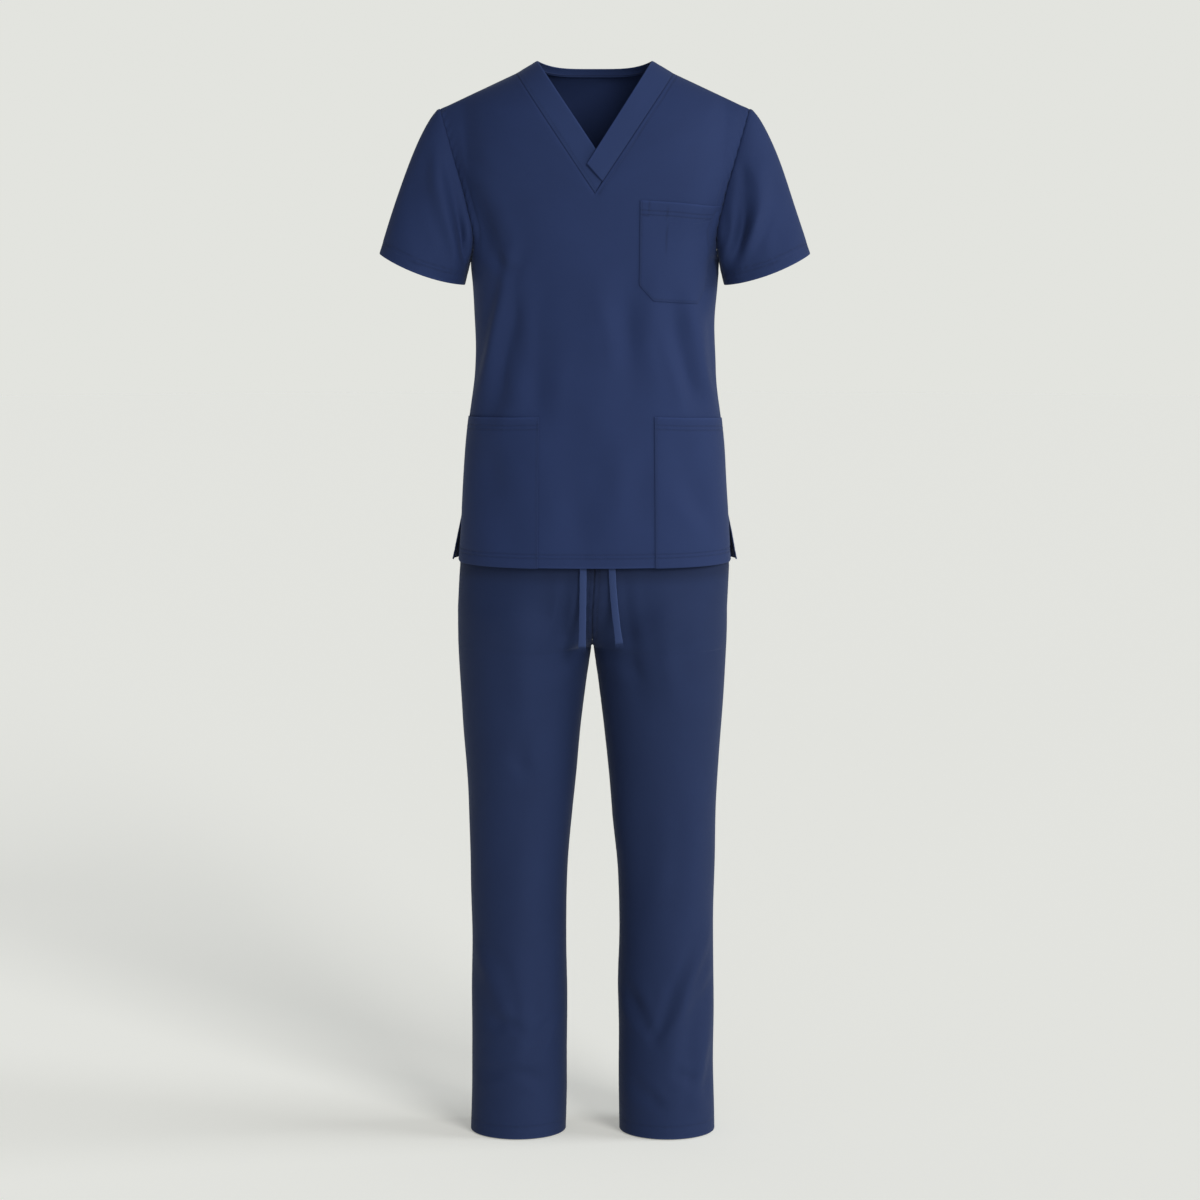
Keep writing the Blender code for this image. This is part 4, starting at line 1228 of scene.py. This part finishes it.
over_band = band_grid(1, True)
under_band = band_grid(-1, False)
back_band = (back_band_grid(1), back_band_grid(-1))
for name, grids, node, flat, area, panel in (
    ("left_neckband", (over_band,), "neckband_left", (0.036, 0.235), 0.0080, "top_front"),
    ("right_neckband", (under_band,), "neckband_right", (0.037, 0.250), 0.0090, "top_front"),
    ("back_neckband", back_band, "neckband_back", (0.225, 0.0165), 0.0036, "top_back"),
):
    sheet_piece(name, grids, band_cloth, node, wall=BAND_CLOTH)

# %% [markdown]
# ## Patch pockets
# A patch pocket is a flat piece with turned edges, laid on the finished panel and sewn round three sides.
# So its points are points of the panel itself, moved out by a little more than the thickness of the
# cloth. The outline is given by four sides seen from the front, and a grid is stretched between them.
# The sewn edges are pressed down, and the open top stands off the panel very slightly.

# %% Pocket outlines
CHEST_POCKET_SIDES = {
    "bottom": ((0.0630, -0.3170), (0.0830, -0.3400), (0.1465, -0.3450), (0.1600, -0.3200)),
    "top": ((0.0640, -0.1965), (0.1150, -0.2000), (0.1780, -0.2070)),
    "inner": ((0.0630, -0.3170), (0.0640, -0.1965)),
    "outer": ((0.1600, -0.3200), (0.1640, -0.2420), (0.1780, -0.2070)),
}
HIP_POCKET_EDGES = {
    1: ((0.0845, -0.5040), (0.0862, -0.7200), -0.5140),
    -1: ((0.0790, -0.5040), (0.0808, -0.7200), -0.5110),
}
POCKET_STITCH = 0.0026
POCKET_ROLL = (0.0006, 0.0013)
POCKET_GROOVE = 0.0002
CHEST_GAPE = 0.0007
HIP_GAPE = 0.0016
CHEST_MOUTH_STITCHES = (0.0140, 0.0200)
HIP_MOUTH_STITCHES = (0.0120, 0.0180)
CHEST_WIDTH = 0.105
CHEST_HEIGHT = 0.135
HIP_WIDTH = 0.150
PEN_SLOT = (0.0400, 0.0740)
CORNER_BOX = (0.0136, 0.0210)
POCKET_RISE = 0.0014
POCKET_CLOTH = 0.0010


def along_path(path, shares):
    path = np.array(path)
    run = run_along(path)
    return points_at(shares * run[-1], run, path)


def find_on(grid, x, z):
    """The row and column of a grid whose point has this x and z in its resting form."""
    form = grid["form"]
    middle = form.shape[1] // 2
    row = np.interp(z, form[:, middle, 2], np.arange(form.shape[0]))
    spread = np.abs(form[form.shape[0] // 2, :, 0])
    column = np.interp(np.abs(x), spread, np.arange(form.shape[1]))
    for _ in range(14):
        here = at(form, row, column)
        by_row = at(form, row + 0.5, column) - at(form, row - 0.5, column)
        by_column = at(form, row, column + 0.5) - at(form, row, column - 0.5)
        miss_x, miss_z = x - here[..., 0], z - here[..., 2]
        area = by_row[..., 0] * by_column[..., 2] - by_row[..., 2] * by_column[..., 0]
        area = np.where(np.abs(area) < 1e-12, 1e-12, area)
        row = row + 0.8 * (miss_x * by_column[..., 2] - miss_z * by_column[..., 0]) / area
        column = column + 0.8 * (by_row[..., 0] * miss_z - by_row[..., 2] * miss_x) / area
        row = np.clip(row, 0.0, form.shape[0] - 1.001)
        column = np.clip(column, 0.0, form.shape[1] - 1.001)
    return row, column


def pocket_on(panel, row, column, lines_from_top, sewn_last, gape):
    """A pocket's grid on a panel, whose rows run up from its bottom and columns out from its inner side."""
    form = at(panel["points"], row, column)
    normals = unit(at(panel["normals"], row, column))
    grid = lay_out(form, panel["inside"].mean(axis=0)[None])
    up, across = grid["up"], grid["across"]
    from_top, from_last = up[-1:] - up, across[:, -1:] - across
    height = np.full(up.shape, POCKET_RISE)
    height += rolled(across, *POCKET_ROLL) + stitched(across, POCKET_STITCH, up, groove=POCKET_GROOVE)
    mouth = np.sin(math.pi * np.clip(across / across[:, -1:], 0.0, 1.0)) ** 1.5
    height += gape * mouth * np.exp(-from_top / 0.030)
    height += rolled(from_top, 0.0004, 0.0009)
    for line in lines_from_top:
        height += stitched(from_top, line, across)
    if sewn_last:
        for distance, along in ((up, across), (from_last, up)):
            height += rolled(distance, *POCKET_ROLL)
            height += stitched(distance, POCKET_STITCH, along, groove=POCKET_GROOVE)
    else:
        for line in TOP_HEM_STITCHES:
            height += stitched(up, line, across)
        height += rolled(from_last, 0.0004, 0.0020)
    grid["points"] = form + normals * height[..., None]
    grid["normals"], grid["flipped"] = outward_normals(grid["points"], grid["inside"])
    # Painted shade along the pocket's sewn edges and under its stitches; the open top is rubbed lighter.
    grid["tone"] = painted_seam_shade(across, 0.0010) + shaded(across, POCKET_STITCH) + rubbed(from_top, amount=0.5)
    for line in lines_from_top:
        grid["tone"] += shaded(from_top, line)
    if sewn_last:
        for distance in (from_last, up):
            grid["tone"] += painted_seam_shade(distance, 0.0010) + shaded(distance, POCKET_STITCH)
    else:
        for line in TOP_HEM_STITCHES:
            grid["tone"] += shaded(up, line)
    grid["side"] = panel["side"]
    return grid


def chest_pocket_grid():
    s = places(CHEST_WIDTH, 0.0025, lines=(POCKET_STITCH,)) / CHEST_WIDTH
    mouth = [CHEST_HEIGHT - line for line in CHEST_MOUTH_STITCHES]
    t = places(CHEST_HEIGHT, 0.0028, lines=(POCKET_STITCH, mouth[1], mouth[0])) / CHEST_HEIGHT
    bottom, top = (along_path(CHEST_POCKET_SIDES[name], s)[None] for name in ("bottom", "top"))
    inner, outer = (along_path(CHEST_POCKET_SIDES[name], t)[:, None] for name in ("inner", "outer"))
    s, t = s[None, :, None], t[:, None, None]
    corners = bottom[:, :1] * (1 - s) * (1 - t) + bottom[:, -1:] * s * (1 - t) + top[:, :1] * (1 - s) * t
    corners = corners + top[:, -1:] * s * t
    flat = bottom * (1 - t) + top * t + inner * (1 - s) + outer * s - corners
    row, column = find_on(front_left, flat[..., 0], flat[..., 1])
    grid = pocket_on(front_left, row, column, CHEST_MOUTH_STITCHES, True, CHEST_GAPE)
    from_top = grid["up"][-1:] - grid["up"]
    across = grid["across"]
    # Painted shade under the stitches of the pen slot and of the corner box.
    slot = np.abs(across - PEN_SLOT[0] - 0.011 * from_top)
    grid["tone"] += np.where(from_top < PEN_SLOT[1], shaded(slot, 0.0, 0.5), 0.0)
    grid["tone"] += np.where(from_top < CORNER_BOX[1], shaded(across, CORNER_BOX[0]), 0.0)
    grid["tone"] += np.where(across < CORNER_BOX[0], shaded(from_top, CORNER_BOX[1]), 0.0)
    return grid


def hip_pocket_grid(side):
    panel = front_left if side > 0 else front_right
    (top_x, top_z), (low_x, low_z), outer_z = HIP_POCKET_EDGES[side]
    height = top_z - low_z
    mouth = [height - line for line in HIP_MOUTH_STITCHES]
    t = places(height, 0.0032, lines=(*TOP_HEM_STITCHES, *mouth)) / height
    s = places(HIP_WIDTH, 0.0026, lines=(POCKET_STITCH,)) / HIP_WIDTH
    inner_x = low_x + (top_x - low_x) * t
    inner_row, inner_column = find_on(panel, inner_x * side, low_z + height * t)
    outer_row, _ = find_on(panel, np.full(len(t), 0.19 * side), low_z + (outer_z - low_z) * t)
    last = panel["form"].shape[1] - 1.02
    column = inner_column[:, None] * (1.0 - s[None]) + last * s[None]
    row = inner_row[:, None] * (1.0 - s[None]) + outer_row[:, None] * s[None]
    return pocket_on(panel, row, column, HIP_MOUTH_STITCHES, False, HIP_GAPE)


chest_pocket = chest_pocket_grid()
left_hip_pocket = hip_pocket_grid(1)
right_hip_pocket = hip_pocket_grid(-1)
for name, grid, node, flat, area in (
    ("chest_pocket_cloth", chest_pocket, "chest_pocket", (0.118, 0.152), 0.0165),
    ("left_hip_pocket_cloth", left_hip_pocket, "hip_pocket_left", (0.175, 0.216), 0.0372),
    ("right_hip_pocket_cloth", right_hip_pocket, "hip_pocket_right", (0.182, 0.216), 0.0386),
):
    sheet_piece(
        name, (grid,), pocket_cloth, node, wall=POCKET_CLOTH
    )

# %% [markdown]
# ## Trousers
# Four panels make the trousers: two fronts and two backs. From the hem to the crotch each leg is a tube of
# its own. Above the crotch the inner ends of the panels run down a curve, and the two legs become one
# section round the hips. Their main creases are the ones that straight legs have: small cross folds
# above the ankle, where the cloth rests on the foot, a long slow hollow at the back of the knee, and
# short drag lines that run from the crotch.

# %% Tables of the trousers
WAIST_Z = -0.585
BAND_TOP_Z = -0.548
RISE_Z = -0.740
CROTCH_Z = -0.847
LEAN = -0.0035
HIP = {
    "z": (-0.740, -0.700, -0.640, -0.585, -0.548),
    "half_width": (0.1960, 0.1947, 0.1840, 0.1720, 0.1690),
    "front": (0.1150, 0.1165, 0.1135, 0.1080, 0.1060),
    "back": (0.1220, 0.1210, 0.1140, 0.1040, 0.1010),
}
LEG = {
    "z": (-1.566, -1.450, -1.340, -1.230, -1.120, -1.016, -0.930, -0.874, -0.847, -0.740),
    "inner": (0.0395, 0.0380, 0.0375, 0.0395, 0.0320, 0.0225, 0.0125, 0.0060, 0.0016, 0.0005),
    "outer": (0.1805, 0.1780, 0.1780, 0.1775, 0.1800, 0.1845, 0.1905, 0.1945, 0.1960, 0.1965),
    "front": (0.0740, 0.0740, 0.0750, 0.0770, 0.0820, 0.0890, 0.0970, 0.1040, 0.1070, 0.1150),
    "back": (0.0740, 0.0760, 0.0790, 0.0840, 0.0900, 0.0980, 0.1070, 0.1140, 0.1170, 0.1220),
}
LEG_ROWS = (
    -1.566, -1.535, -1.500, -1.465, -1.420, -1.360, -1.270, -1.180, -1.090, -1.010, -0.940, -0.890,
    -0.862,
)
CROTCH_ROWS = (1.0, 0.965, 0.88, 0.74, 0.54, 0.28)
CROTCH_REACH = 0.5
CROTCH_FULLNESS = 0.10
HIP_ROWS = (-0.740, -0.700, -0.660, -0.620, -0.585)
LEG_HEM_STITCHES = (0.0190,)
INSEAM_STITCH = 0.0065
TROUSER_DEPTH = 0.70
TROUSER_CELL = (0.0056, 0.0037)
RISE_REACH = 0.06
# HEM_SHADE is a painted shadow of the top's hem on the trouser fronts; FLY_SHADE is painted shade down the
# centre front above the crotch.
HEM_SHADE = 0.55
HEM_SHADE_Z = -0.750
FLY_SHADE = 0.45
TROUSER_FOLDS = (
    (49, -1346, 85, -1415, 3, 9, -3.2, 1), (116, -1350, 88, -1415, -3, 9, -2.8, 1),
    (166, -1265, 112, -1424, 6, 11, 3.4, 1), (176, -1330, 130, -1450, 5, 10, -2.6, 1),
    (58, -1486, 99, -1516, 3, 9, -2.8, 1), (166, -1404, 150, -1522, 3, 10, 2.6, 1),
    (120, -1470, 168, -1500, -4, 10, -2.2, 1), (100, -960, 118, -1170, 3, 30, -2.2, 1),
    (70, -1060, 62, -1240, -2, 20, -1.8, 1), (150, -1050, 146, -1240, 4, 18, 1.8, 1),
    (43, -740, 64, -905, 3, 10, -2.8, 1), (15, -842, 62, -880, -4, 10, -2.2, 1),
    (100, -735, 106, -900, 3, 18, 1.8, 1), (-41, -735, -57, -855, -3, 9, -2.8, 1),
    (-15, -842, -56, -872, 4, 10, -2.2, 1), (-104, -735, -104, -930, 2, 20, 1.6, 1),
    (-116, -992, -86, -1032, 3, 12, -1.2, 1), (-104, -970, -122, -1170, -3, 28, -2.2, 1),
    (-64, -1080, -58, -1260, 2, 20, -1.6, 1), (-150, -1392, -106, -1404, -3, 9, -3, 1),
    (-160, -1470, -75, -1480, -9, 10, -3.2, 1), (-60, -1385, -98, -1440, 3, 9, -2.4, 1),
    (-170, -1290, -130, -1392, -4, 11, 2.6, 1), (-85, -1300, -82, -1400, 2, 14, -1.8, 1),
    (120, -1030, 60, -1068, 6, 14, -3.4, -1), (160, -1075, 70, -1120, 6, 15, -3.2, -1),
    (55, -1390, 120, -1430, 5, 11, -3.2, -1), (70, -1490, 150, -1470, -5, 11, -3, -1),
    (12, -850, 90, -910, 6, 14, -3.6, -1), (120, -800, 50, -880, 6, 15, -2.4, -1),
    (-115, -1020, -56, -1062, -6, 14, -3.4, -1), (-155, -1085, -66, -1110, -6, 14, -3, -1),
    (-60, -1380, -124, -1412, -5, 11, -3.2, -1), (-64, -1500, -148, -1480, 5, 11, -3.2, -1),
    (-12, -850, -84, -900, -6, 14, -3.4, -1), (-126, -810, -54, -884, -6, 15, -2.6, -1),
)


def leg_point(z, share, front):
    turn = math.pi * share
    inner = column_at(LEG, "inner", z)
    outer = column_at(LEG, "outer", z)
    depth = column_at(LEG, "front" if front else "back", z)
    y = depth * math.sin(turn)
    return np.array(((inner + outer) / 2 - (outer - inner) / 2 * math.cos(turn), -y if front else y, z))


def hip_point(z, share, front):
    return section(z, math.pi / 2 * share, front, HIP)


def crotch_point(drop, share, front):
    curved = math.sqrt(1.0 - drop**2)
    even = (1.0 - drop) ** 2 * (1.0 + 2.0 * drop)
    outerness = min(1.0, share / CROTCH_REACH)
    hip_share = curved + (even - curved) * outerness * outerness * (3.0 - 2.0 * outerness)
    z = RISE_Z + (CROTCH_Z - RISE_Z) * drop
    point = leg_point(z, share, front) * (1.0 - hip_share) + hip_point(RISE_Z, share, front) * hip_share
    point[1] *= 1.0 + CROTCH_FULLNESS * 4.0 * hip_share * (1.0 - hip_share) * math.sin(math.pi * share)
    point[2] = z
    return point


def trouser_half(front):
    shares = np.linspace(0.0, 1.0, 8)
    rows = [[leg_point(z, share, front) for share in shares] for z in LEG_ROWS]
    rows += [[crotch_point(drop, share, front) for share in shares] for drop in CROTCH_ROWS]
    rows += [[hip_point(z, share, front) for share in shares] for z in HIP_ROWS]
    return np.array(rows)


def trouser_grid(front, side):
    control, other = trouser_half(front), trouser_half(not front)
    tube = len(LEG_ROWS) + 1
    free = len(LEG_ROWS) + len(CROTCH_ROWS)
    mirror = np.array((-1.0, 1.0, 1.0))
    near, far = other[:, 1].copy(), other[:, 2].copy()
    near[tube:free] = 2.0 * control[tube:free, 0] - control[tube:free, 1]
    far[tube:free] = 2.0 * near[tube:free] - control[tube:free, 0]
    near[free:], far[free:] = control[free:, 1] * mirror, control[free:, 2] * mirror
    wide = np.concatenate(
        (far[:, None], near[:, None], control, other[:, -2][:, None], other[:, -3][:, None]), axis=1
    )
    row_knots, column_knots = mean_knots(control, 0), mean_knots(wide, 1)
    start, end = column_knots[2], column_knots[-3]
    rows = places(row_knots[-1], TROUSER_CELL[0], lines=LEG_HEM_STITCHES)
    columns = places(end - start, TROUSER_CELL[1], lines=(INSEAM_STITCH,)) + start
    by_column = spline_matrix(column_knots, columns)
    fine = np.einsum("acd,ec->aed", steady_rows(wide, row_knots, rows), by_column)
    crotch_row = int(np.argmin(np.abs(rows - row_knots[tube - 1])))
    target = fine[:, 0, 0].copy()
    above = target[crotch_row:]
    target[crotch_row:] = np.where(fine[crotch_row:, 0, 2] > RISE_Z, 0.0, np.maximum(above, 0.0)) + GAP
    reach = np.clip(1.0 - (columns - start) / RISE_REACH, 0.0, 1.0) ** 2
    fine[:, :, 0] += (target - fine[:, 0, 0])[:, None] * reach[None]
    forward = -1.0 if front else 1.0
    fine[:, -1, 1] += forward * GAP
    fine[: crotch_row + 1, 0, 1] = forward * GAP
    fine[-1, :, 2] -= GAP
    fine[:, :, 0] *= side
    lean = LEAN * np.clip((HEM_Z - 0.01 - fine[..., 2]) / 0.06, 0.0, 1.0)
    fine[..., 0] += lean
    leg = fine[..., 2] < CROTCH_Z
    middle = fine.mean(axis=1, keepdims=True) * np.array((1.0, 0.0, 1.0))
    inside = np.where(leg.mean(axis=1)[:, None, None] > 0.5, middle, middle * np.array((0.5, 0.0, 1.0)))
    grid = lay_out(fine, inside)
    up, across = grid["up"], grid["across"]
    from_outer = across[:, -1:] - across
    height = drift(fine) + TROUSER_DEPTH * soft_folds(fine, TROUSER_FOLDS)
    height += rolled(from_outer, *SEAM_ROLL) + rolled(across, *SEAM_ROLL)
    height += rolled(up, *HEM_ROLL) + rolled(up[-1:] - up, 0.0006, 0.0020)
    for line in LEG_HEM_STITCHES:
        height += stitched(up, line, across)
    below = (np.arange(len(rows)) < crotch_row)[:, None]
    height += stitched(across, INSEAM_STITCH, up)
    height += np.where(below, 0.0, 0.0008) * np.sin(up * 260.0) * np.exp(-((across / 0.012) ** 2))
    height *= smooth_step((up[-1:] - up) / 0.020) * 0.7 + 0.3
    raise_cloth(grid, height)
    grid["points"][crotch_row + 1 :, 0, 0] = fine[crotch_row + 1 :, 0, 0]
    # Painted shade in the seams and the stitch grooves; the hem is rubbed lighter.
    grid["tone"] = painted_seam_shade(from_outer) + painted_seam_shade(across, 0.0018) + rubbed(up) + shaded(across, INSEAM_STITCH)
    for line in LEG_HEM_STITCHES:
        grid["tone"] += shaded(up, line)
    if front:
        # Painted shadow under the top's hem, and painted shade down the centre front above the crotch.
        grid["tone"] -= HEM_SHADE * smooth_step((fine[..., 2] - HEM_SHADE_Z) / 0.022)
        grid["tone"] -= np.where(below, 0.0, FLY_SHADE) * np.exp(-((across / 0.018) ** 2))
    grid.update(side=side, tucks=("first", "high") if front else ("first", "last"))
    return grid


trousers = {}
for front in (True, False):
    for side in (1, -1):
        name = ("front" if front else "back") + ("_left" if side > 0 else "_right")
        trousers[name] = trouser_grid(front, side)
        sheet_piece(
            "trouser_" + name, (trousers[name],), trouser_cloth, "pants_" + name,
        )

# %% [markdown]
# ## Waistband
# The waistband is a casing, a tube of cloth round the waist with the drawstring inside it. The cord gathers
# it, so its surface is ridged all round by small uneven folds.

# %% Waistband
WAISTBAND_CLOTH = 0.0018
WAISTBAND_POINTS = 300
WAISTBAND_STITCHES = (0.0050, 0.0320)


def waistband_grid():
    turns = np.linspace(0.0, 2.0 * math.pi, WAISTBAND_POINTS + 1)
    heights = places(BAND_TOP_Z - WAIST_Z - GAP, 0.0040, lines=WAISTBAND_STITCHES)
    rings = []
    for z in heights + WAIST_Z + GAP:
        ring = []
        for turn in turns:
            front = math.cos(turn) > 0.0
            share = abs(math.degrees(math.atan2(math.sin(turn), abs(math.cos(turn))))) / 90.0
            point = hip_point(z, share, front)
            point[0] *= math.copysign(1.0, math.sin(turn))
            ring.append(point)
        ring[-1] = ring[0].copy()
        rings.append(ring)
    points = np.array(rings)
    grid = lay_out(points, points.mean(axis=1, keepdims=True), tube=True)
    up, across = grid["up"], grid["across"]
    total = across[:, -1:]
    phase = across / total * 2.0 * math.pi
    gathers = np.sin(118.0 * phase + 1.4 * np.sin(7.0 * phase)) * (0.6 + 0.4 * np.sin(11.0 * phase + 1.0))
    middle = np.sin(math.pi * np.clip(up / up[-1:], 0.0, 1.0))
    height = 0.0007 * gathers * (0.35 + 0.65 * middle) + 0.0008 * middle
    for line in WAISTBAND_STITCHES:
        height += stitched(up, line, across, pull=0.0)
    raise_cloth(grid, height)
    grid["tone"] = rubbed(up[-1:] - up)
    return grid


waistband = waistband_grid()
sheet_piece(
    "waistband_cloth", (waistband,), band_cloth, "waistband",
    wall=WAISTBAND_CLOTH,
)

# %% [markdown]
# ## Rows of stitches
# Each row of stitches lies in the groove that its panel already has. The rows are found from the same
# distances: so far from a hem, from a seam or from a pocket's edge. Short dense bars hold the ends of the
# pocket openings, and a small box of stitches holds the chest pocket's inner top corner.

# %% Rows of stitches
BAR_STEP = 0.0007
BAR_HALF = 0.0017
WIDE_PITCH = 0.0036


def along_value(grid, values, target, low, high):
    """A row where a value that grows along the columns reaches a target, from one row to another."""
    rows = np.arange(low, high)
    columns = [np.interp(target, values[row], np.arange(values.shape[1])) for row in rows]
    return row_on(grid, rows, columns)


def spot_on(grid, across, up):
    """The row and column that lie so far across and up from the grid's first corner."""
    middle = grid["up"].shape[1] // 2
    row = np.interp(up, grid["up"][:, middle], np.arange(grid["up"].shape[0]))
    count = grid["across"].shape[1]
    run = at(grid["across"], np.full(count, row), np.arange(count))
    return row, np.interp(across, run, np.arange(count))


def path_on(grid, corners):
    """A row of stitches through corners given as distances across and up."""
    spots = []
    for (a0, u0), (a1, u1) in zip(corners, corners[1:]):
        spots += [spot_on(grid, a0 + (a1 - a0) * s, u0 + (u1 - u0) * s) for s in np.linspace(0.0, 1.0, 14)]
    spots = np.array(spots)
    keep = np.concatenate(([True], np.abs(np.diff(spots, axis=0)).sum(axis=1) > 0.001))
    return row_on(grid, spots[keep, 0], spots[keep, 1])


def bar_on(grid, across, up, length):
    """A bar of short stitches side by side, running up from a point."""
    bars = []
    for step in np.arange(0.0, length, BAR_STEP):
        bars.append(path_on(grid, ((across - BAR_HALF, up + step), (across + BAR_HALF, up + step))))
    return bars


front_rows = []
for panel, pocket in ((front_left, left_hip_pocket), (front_right, right_hip_pocket)):
    pocket_x = abs(pocket["form"][0, 0, 0])
    last = np.interp(pocket_x, np.abs(panel["form"][2, :, 0]), np.arange(panel["form"].shape[1]))
    for line in TOP_HEM_STITCHES:
        front_rows.append(along_hem(panel, line, 0.0, last))
front_rows.append(
    along_value(
        front_left, neck_distance(front_left["form"], 1), NECK_STITCH, front_left["tip_row"] + 2,
        front_left["form"].shape[0] - 2,
    )
)
sew("front_stitches", front_rows)

back_rows = []
for panel in (back_left, back_right):
    slit_row = int(np.argmin(np.abs(panel["form"][:, -1, 2] - SLIT_Z)))
    back_rows.append(along_side(panel, SLIT_STITCH, 1.0, slit_row))
    for line in TOP_HEM_STITCHES:
        back_rows.append(along_hem(panel, line))
    neck_end = np.interp(NECK_END_ANGLE, panel["angles"], np.arange(len(panel["angles"])))
    back_rows.append(along_hem(panel, BACK_NECK_STITCH, 0.0, neck_end, from_top=True))
sew("back_stitches", back_rows)

for side_name, grid in (("left", left_sleeve), ("right", right_sleeve)):
    sleeve_rows = [along_hem(grid, line, from_top=True) for line in SLEEVE_HEM_STITCHES]
    sew(side_name + "_sleeve_stitches", sleeve_rows)

band_end = under_band["form"].shape[0] - 3
band_row = along_side(under_band, BAND_STITCH, 2.0, band_end, from_last=False)
sew("right_neckband_stitches", [band_row])

chest_up = float(chest_pocket["up"][-1].mean())
chest_across = float(chest_pocket["across"][-1, -1])
chest_last = chest_pocket["form"].shape[0] - 2
chest_paths = [((0.0420, line), (chest_across, line)) for line in CHEST_MOUTH_STITCHES]
chest_paths += [
    ((CORNER_BOX[0], 0.0010), CORNER_BOX, (0.0030, CORNER_BOX[1])),
    ((PEN_SLOT[0], 0.0030), (0.0408, PEN_SLOT[1])),
]
chest_rows = [
    along_side(chest_pocket, POCKET_STITCH, 3.0, chest_last, from_last=False),
    along_side(chest_pocket, POCKET_STITCH, 3.0, chest_last),
    along_hem(chest_pocket, POCKET_STITCH, 3.0, chest_pocket["form"].shape[1] - 4),
]
for path in chest_paths:
    chest_rows.append(path_on(chest_pocket, [(across, chest_up - down) for across, down in path]))
for across in (PEN_SLOT[0], 0.0042, chest_across - 0.0042):
    chest_rows += bar_on(chest_pocket, across, chest_up - 0.0080, 0.0065)
sew("chest_pocket_stitches", chest_rows, pitch=0.0026, size=0.85)

for side_name, grid in (("left", left_hip_pocket), ("right", right_hip_pocket)):
    last_row = grid["form"].shape[0] - 2
    hip_up = float(grid["up"][-1, 0])
    hip_rows = [along_side(grid, POCKET_STITCH, 1.0, last_row, from_last=False)]
    hip_rows += [along_hem(grid, line, from_top=True) for line in HIP_MOUTH_STITCHES]
    hip_rows += [along_hem(grid, line) for line in TOP_HEM_STITCHES]
    sew(side_name + "_hip_pocket_stitches", hip_rows)
    bars = bar_on(grid, 0.0050, hip_up - 0.0085, 0.0070)
    sew(side_name + "_hip_pocket_bar", bars, pitch=0.0024, size=0.85)

for name, grid in trousers.items():
    trouser_rows = [along_hem(grid, line) for line in LEG_HEM_STITCHES]
    trouser_rows.append(along_side(grid, INSEAM_STITCH, 2.0, grid["form"].shape[0] - 4, from_last=False))
    sew("trouser_" + name + "_stitches", trouser_rows, pitch=WIDE_PITCH)

waistband_rows = [along_hem(waistband, line) for line in WAISTBAND_STITCHES]
sew("waistband_stitches", waistband_rows, pitch=WIDE_PITCH)

# %% [markdown]
# ## Floor and light
# The floor is a large pale disc under the hems. The world shows the camera the same tone as the lit floor,
# so no horizon can be seen, and gives everything else a soft even light. Suns with wide discs stand
# for a large soft box in front on the right and one beside the garment, and a third, low and weak, comes
# from the front and reaches into the neck. Their shadows are soft.

# %% Floor, world and suns
FLOOR_Z = -1.5675
FLOOR_RADIUS = 16.0
BACKDROP = (0.767, 0.775, 0.737, 1.0)
FLOOR_COLOR = (0.780, 0.787, 0.755, 1.0)
FLOOR_GLOW = (0.280, 0.278, 0.252, 1.0)
AMBIENT = (0.200, 0.206, 0.222, 1.0)

bpy.ops.mesh.primitive_circle_add(
    vertices=96, radius=FLOOR_RADIUS, fill_type="NGON", location=(0.0, 0.0, FLOOR_Z)
)
floor = bpy.context.object
floor.name = "floor"
floor_paint = bpy.data.materials.new("floor_paint")
floor_paint.use_nodes = True
paint = floor_paint.node_tree.nodes["Principled BSDF"]
set_inputs(paint, {"Base Color": FLOOR_COLOR, "Roughness": 1.0, "Specular IOR Level": 0.0})
set_inputs(paint, {"Emission Color": FLOOR_GLOW, "Emission Strength": 1.0})
floor.data.materials.append(floor_paint)

world = bpy.data.worlds.new("studio")
bpy.context.scene.world = world
world.use_nodes = True
nodes, links = world.node_tree.nodes, world.node_tree.links
background = nodes["Background"]
seen = nodes.new("ShaderNodeLightPath")
mix = nodes.new("ShaderNodeMix")
mix.data_type = "RGBA"
color_inputs = [socket for socket in mix.inputs if socket.type == "RGBA"]
color_inputs[0].default_value = AMBIENT
color_inputs[1].default_value = BACKDROP
links.new(seen.outputs["Is Camera Ray"], mix.inputs["Factor"])
links.new([socket for socket in mix.outputs if socket.type == "RGBA"][0], background.inputs["Color"])


def add_sun(name, azimuth, elevation, strength, spread, color):
    """A sun that shines from this side: azimuth 0 is in front of the garment, 90 is on its left (+X)."""
    bpy.ops.object.light_add(type="SUN")
    lamp = bpy.context.object
    lamp.name = name
    lamp.data.energy = strength
    lamp.data.angle = math.radians(spread)
    lamp.data.color = color
    lamp.rotation_euler = (math.radians(90.0 - elevation), 0.0, math.radians(azimuth))


add_sun("key", 28.0, 23.0, 1.80, 24.0, (1.0, 0.985, 0.960))
add_sun("fill", -4.0, 7.0, 0.45, 30.0, (1.0, 1.0, 1.0))
add_sun("side", 85.0, 20.0, 1.70, 36.0, (0.960, 0.980, 1.0))
bpy.context.scene.view_settings.view_transform = "Standard"
bpy.context.scene.view_settings.look = "None"
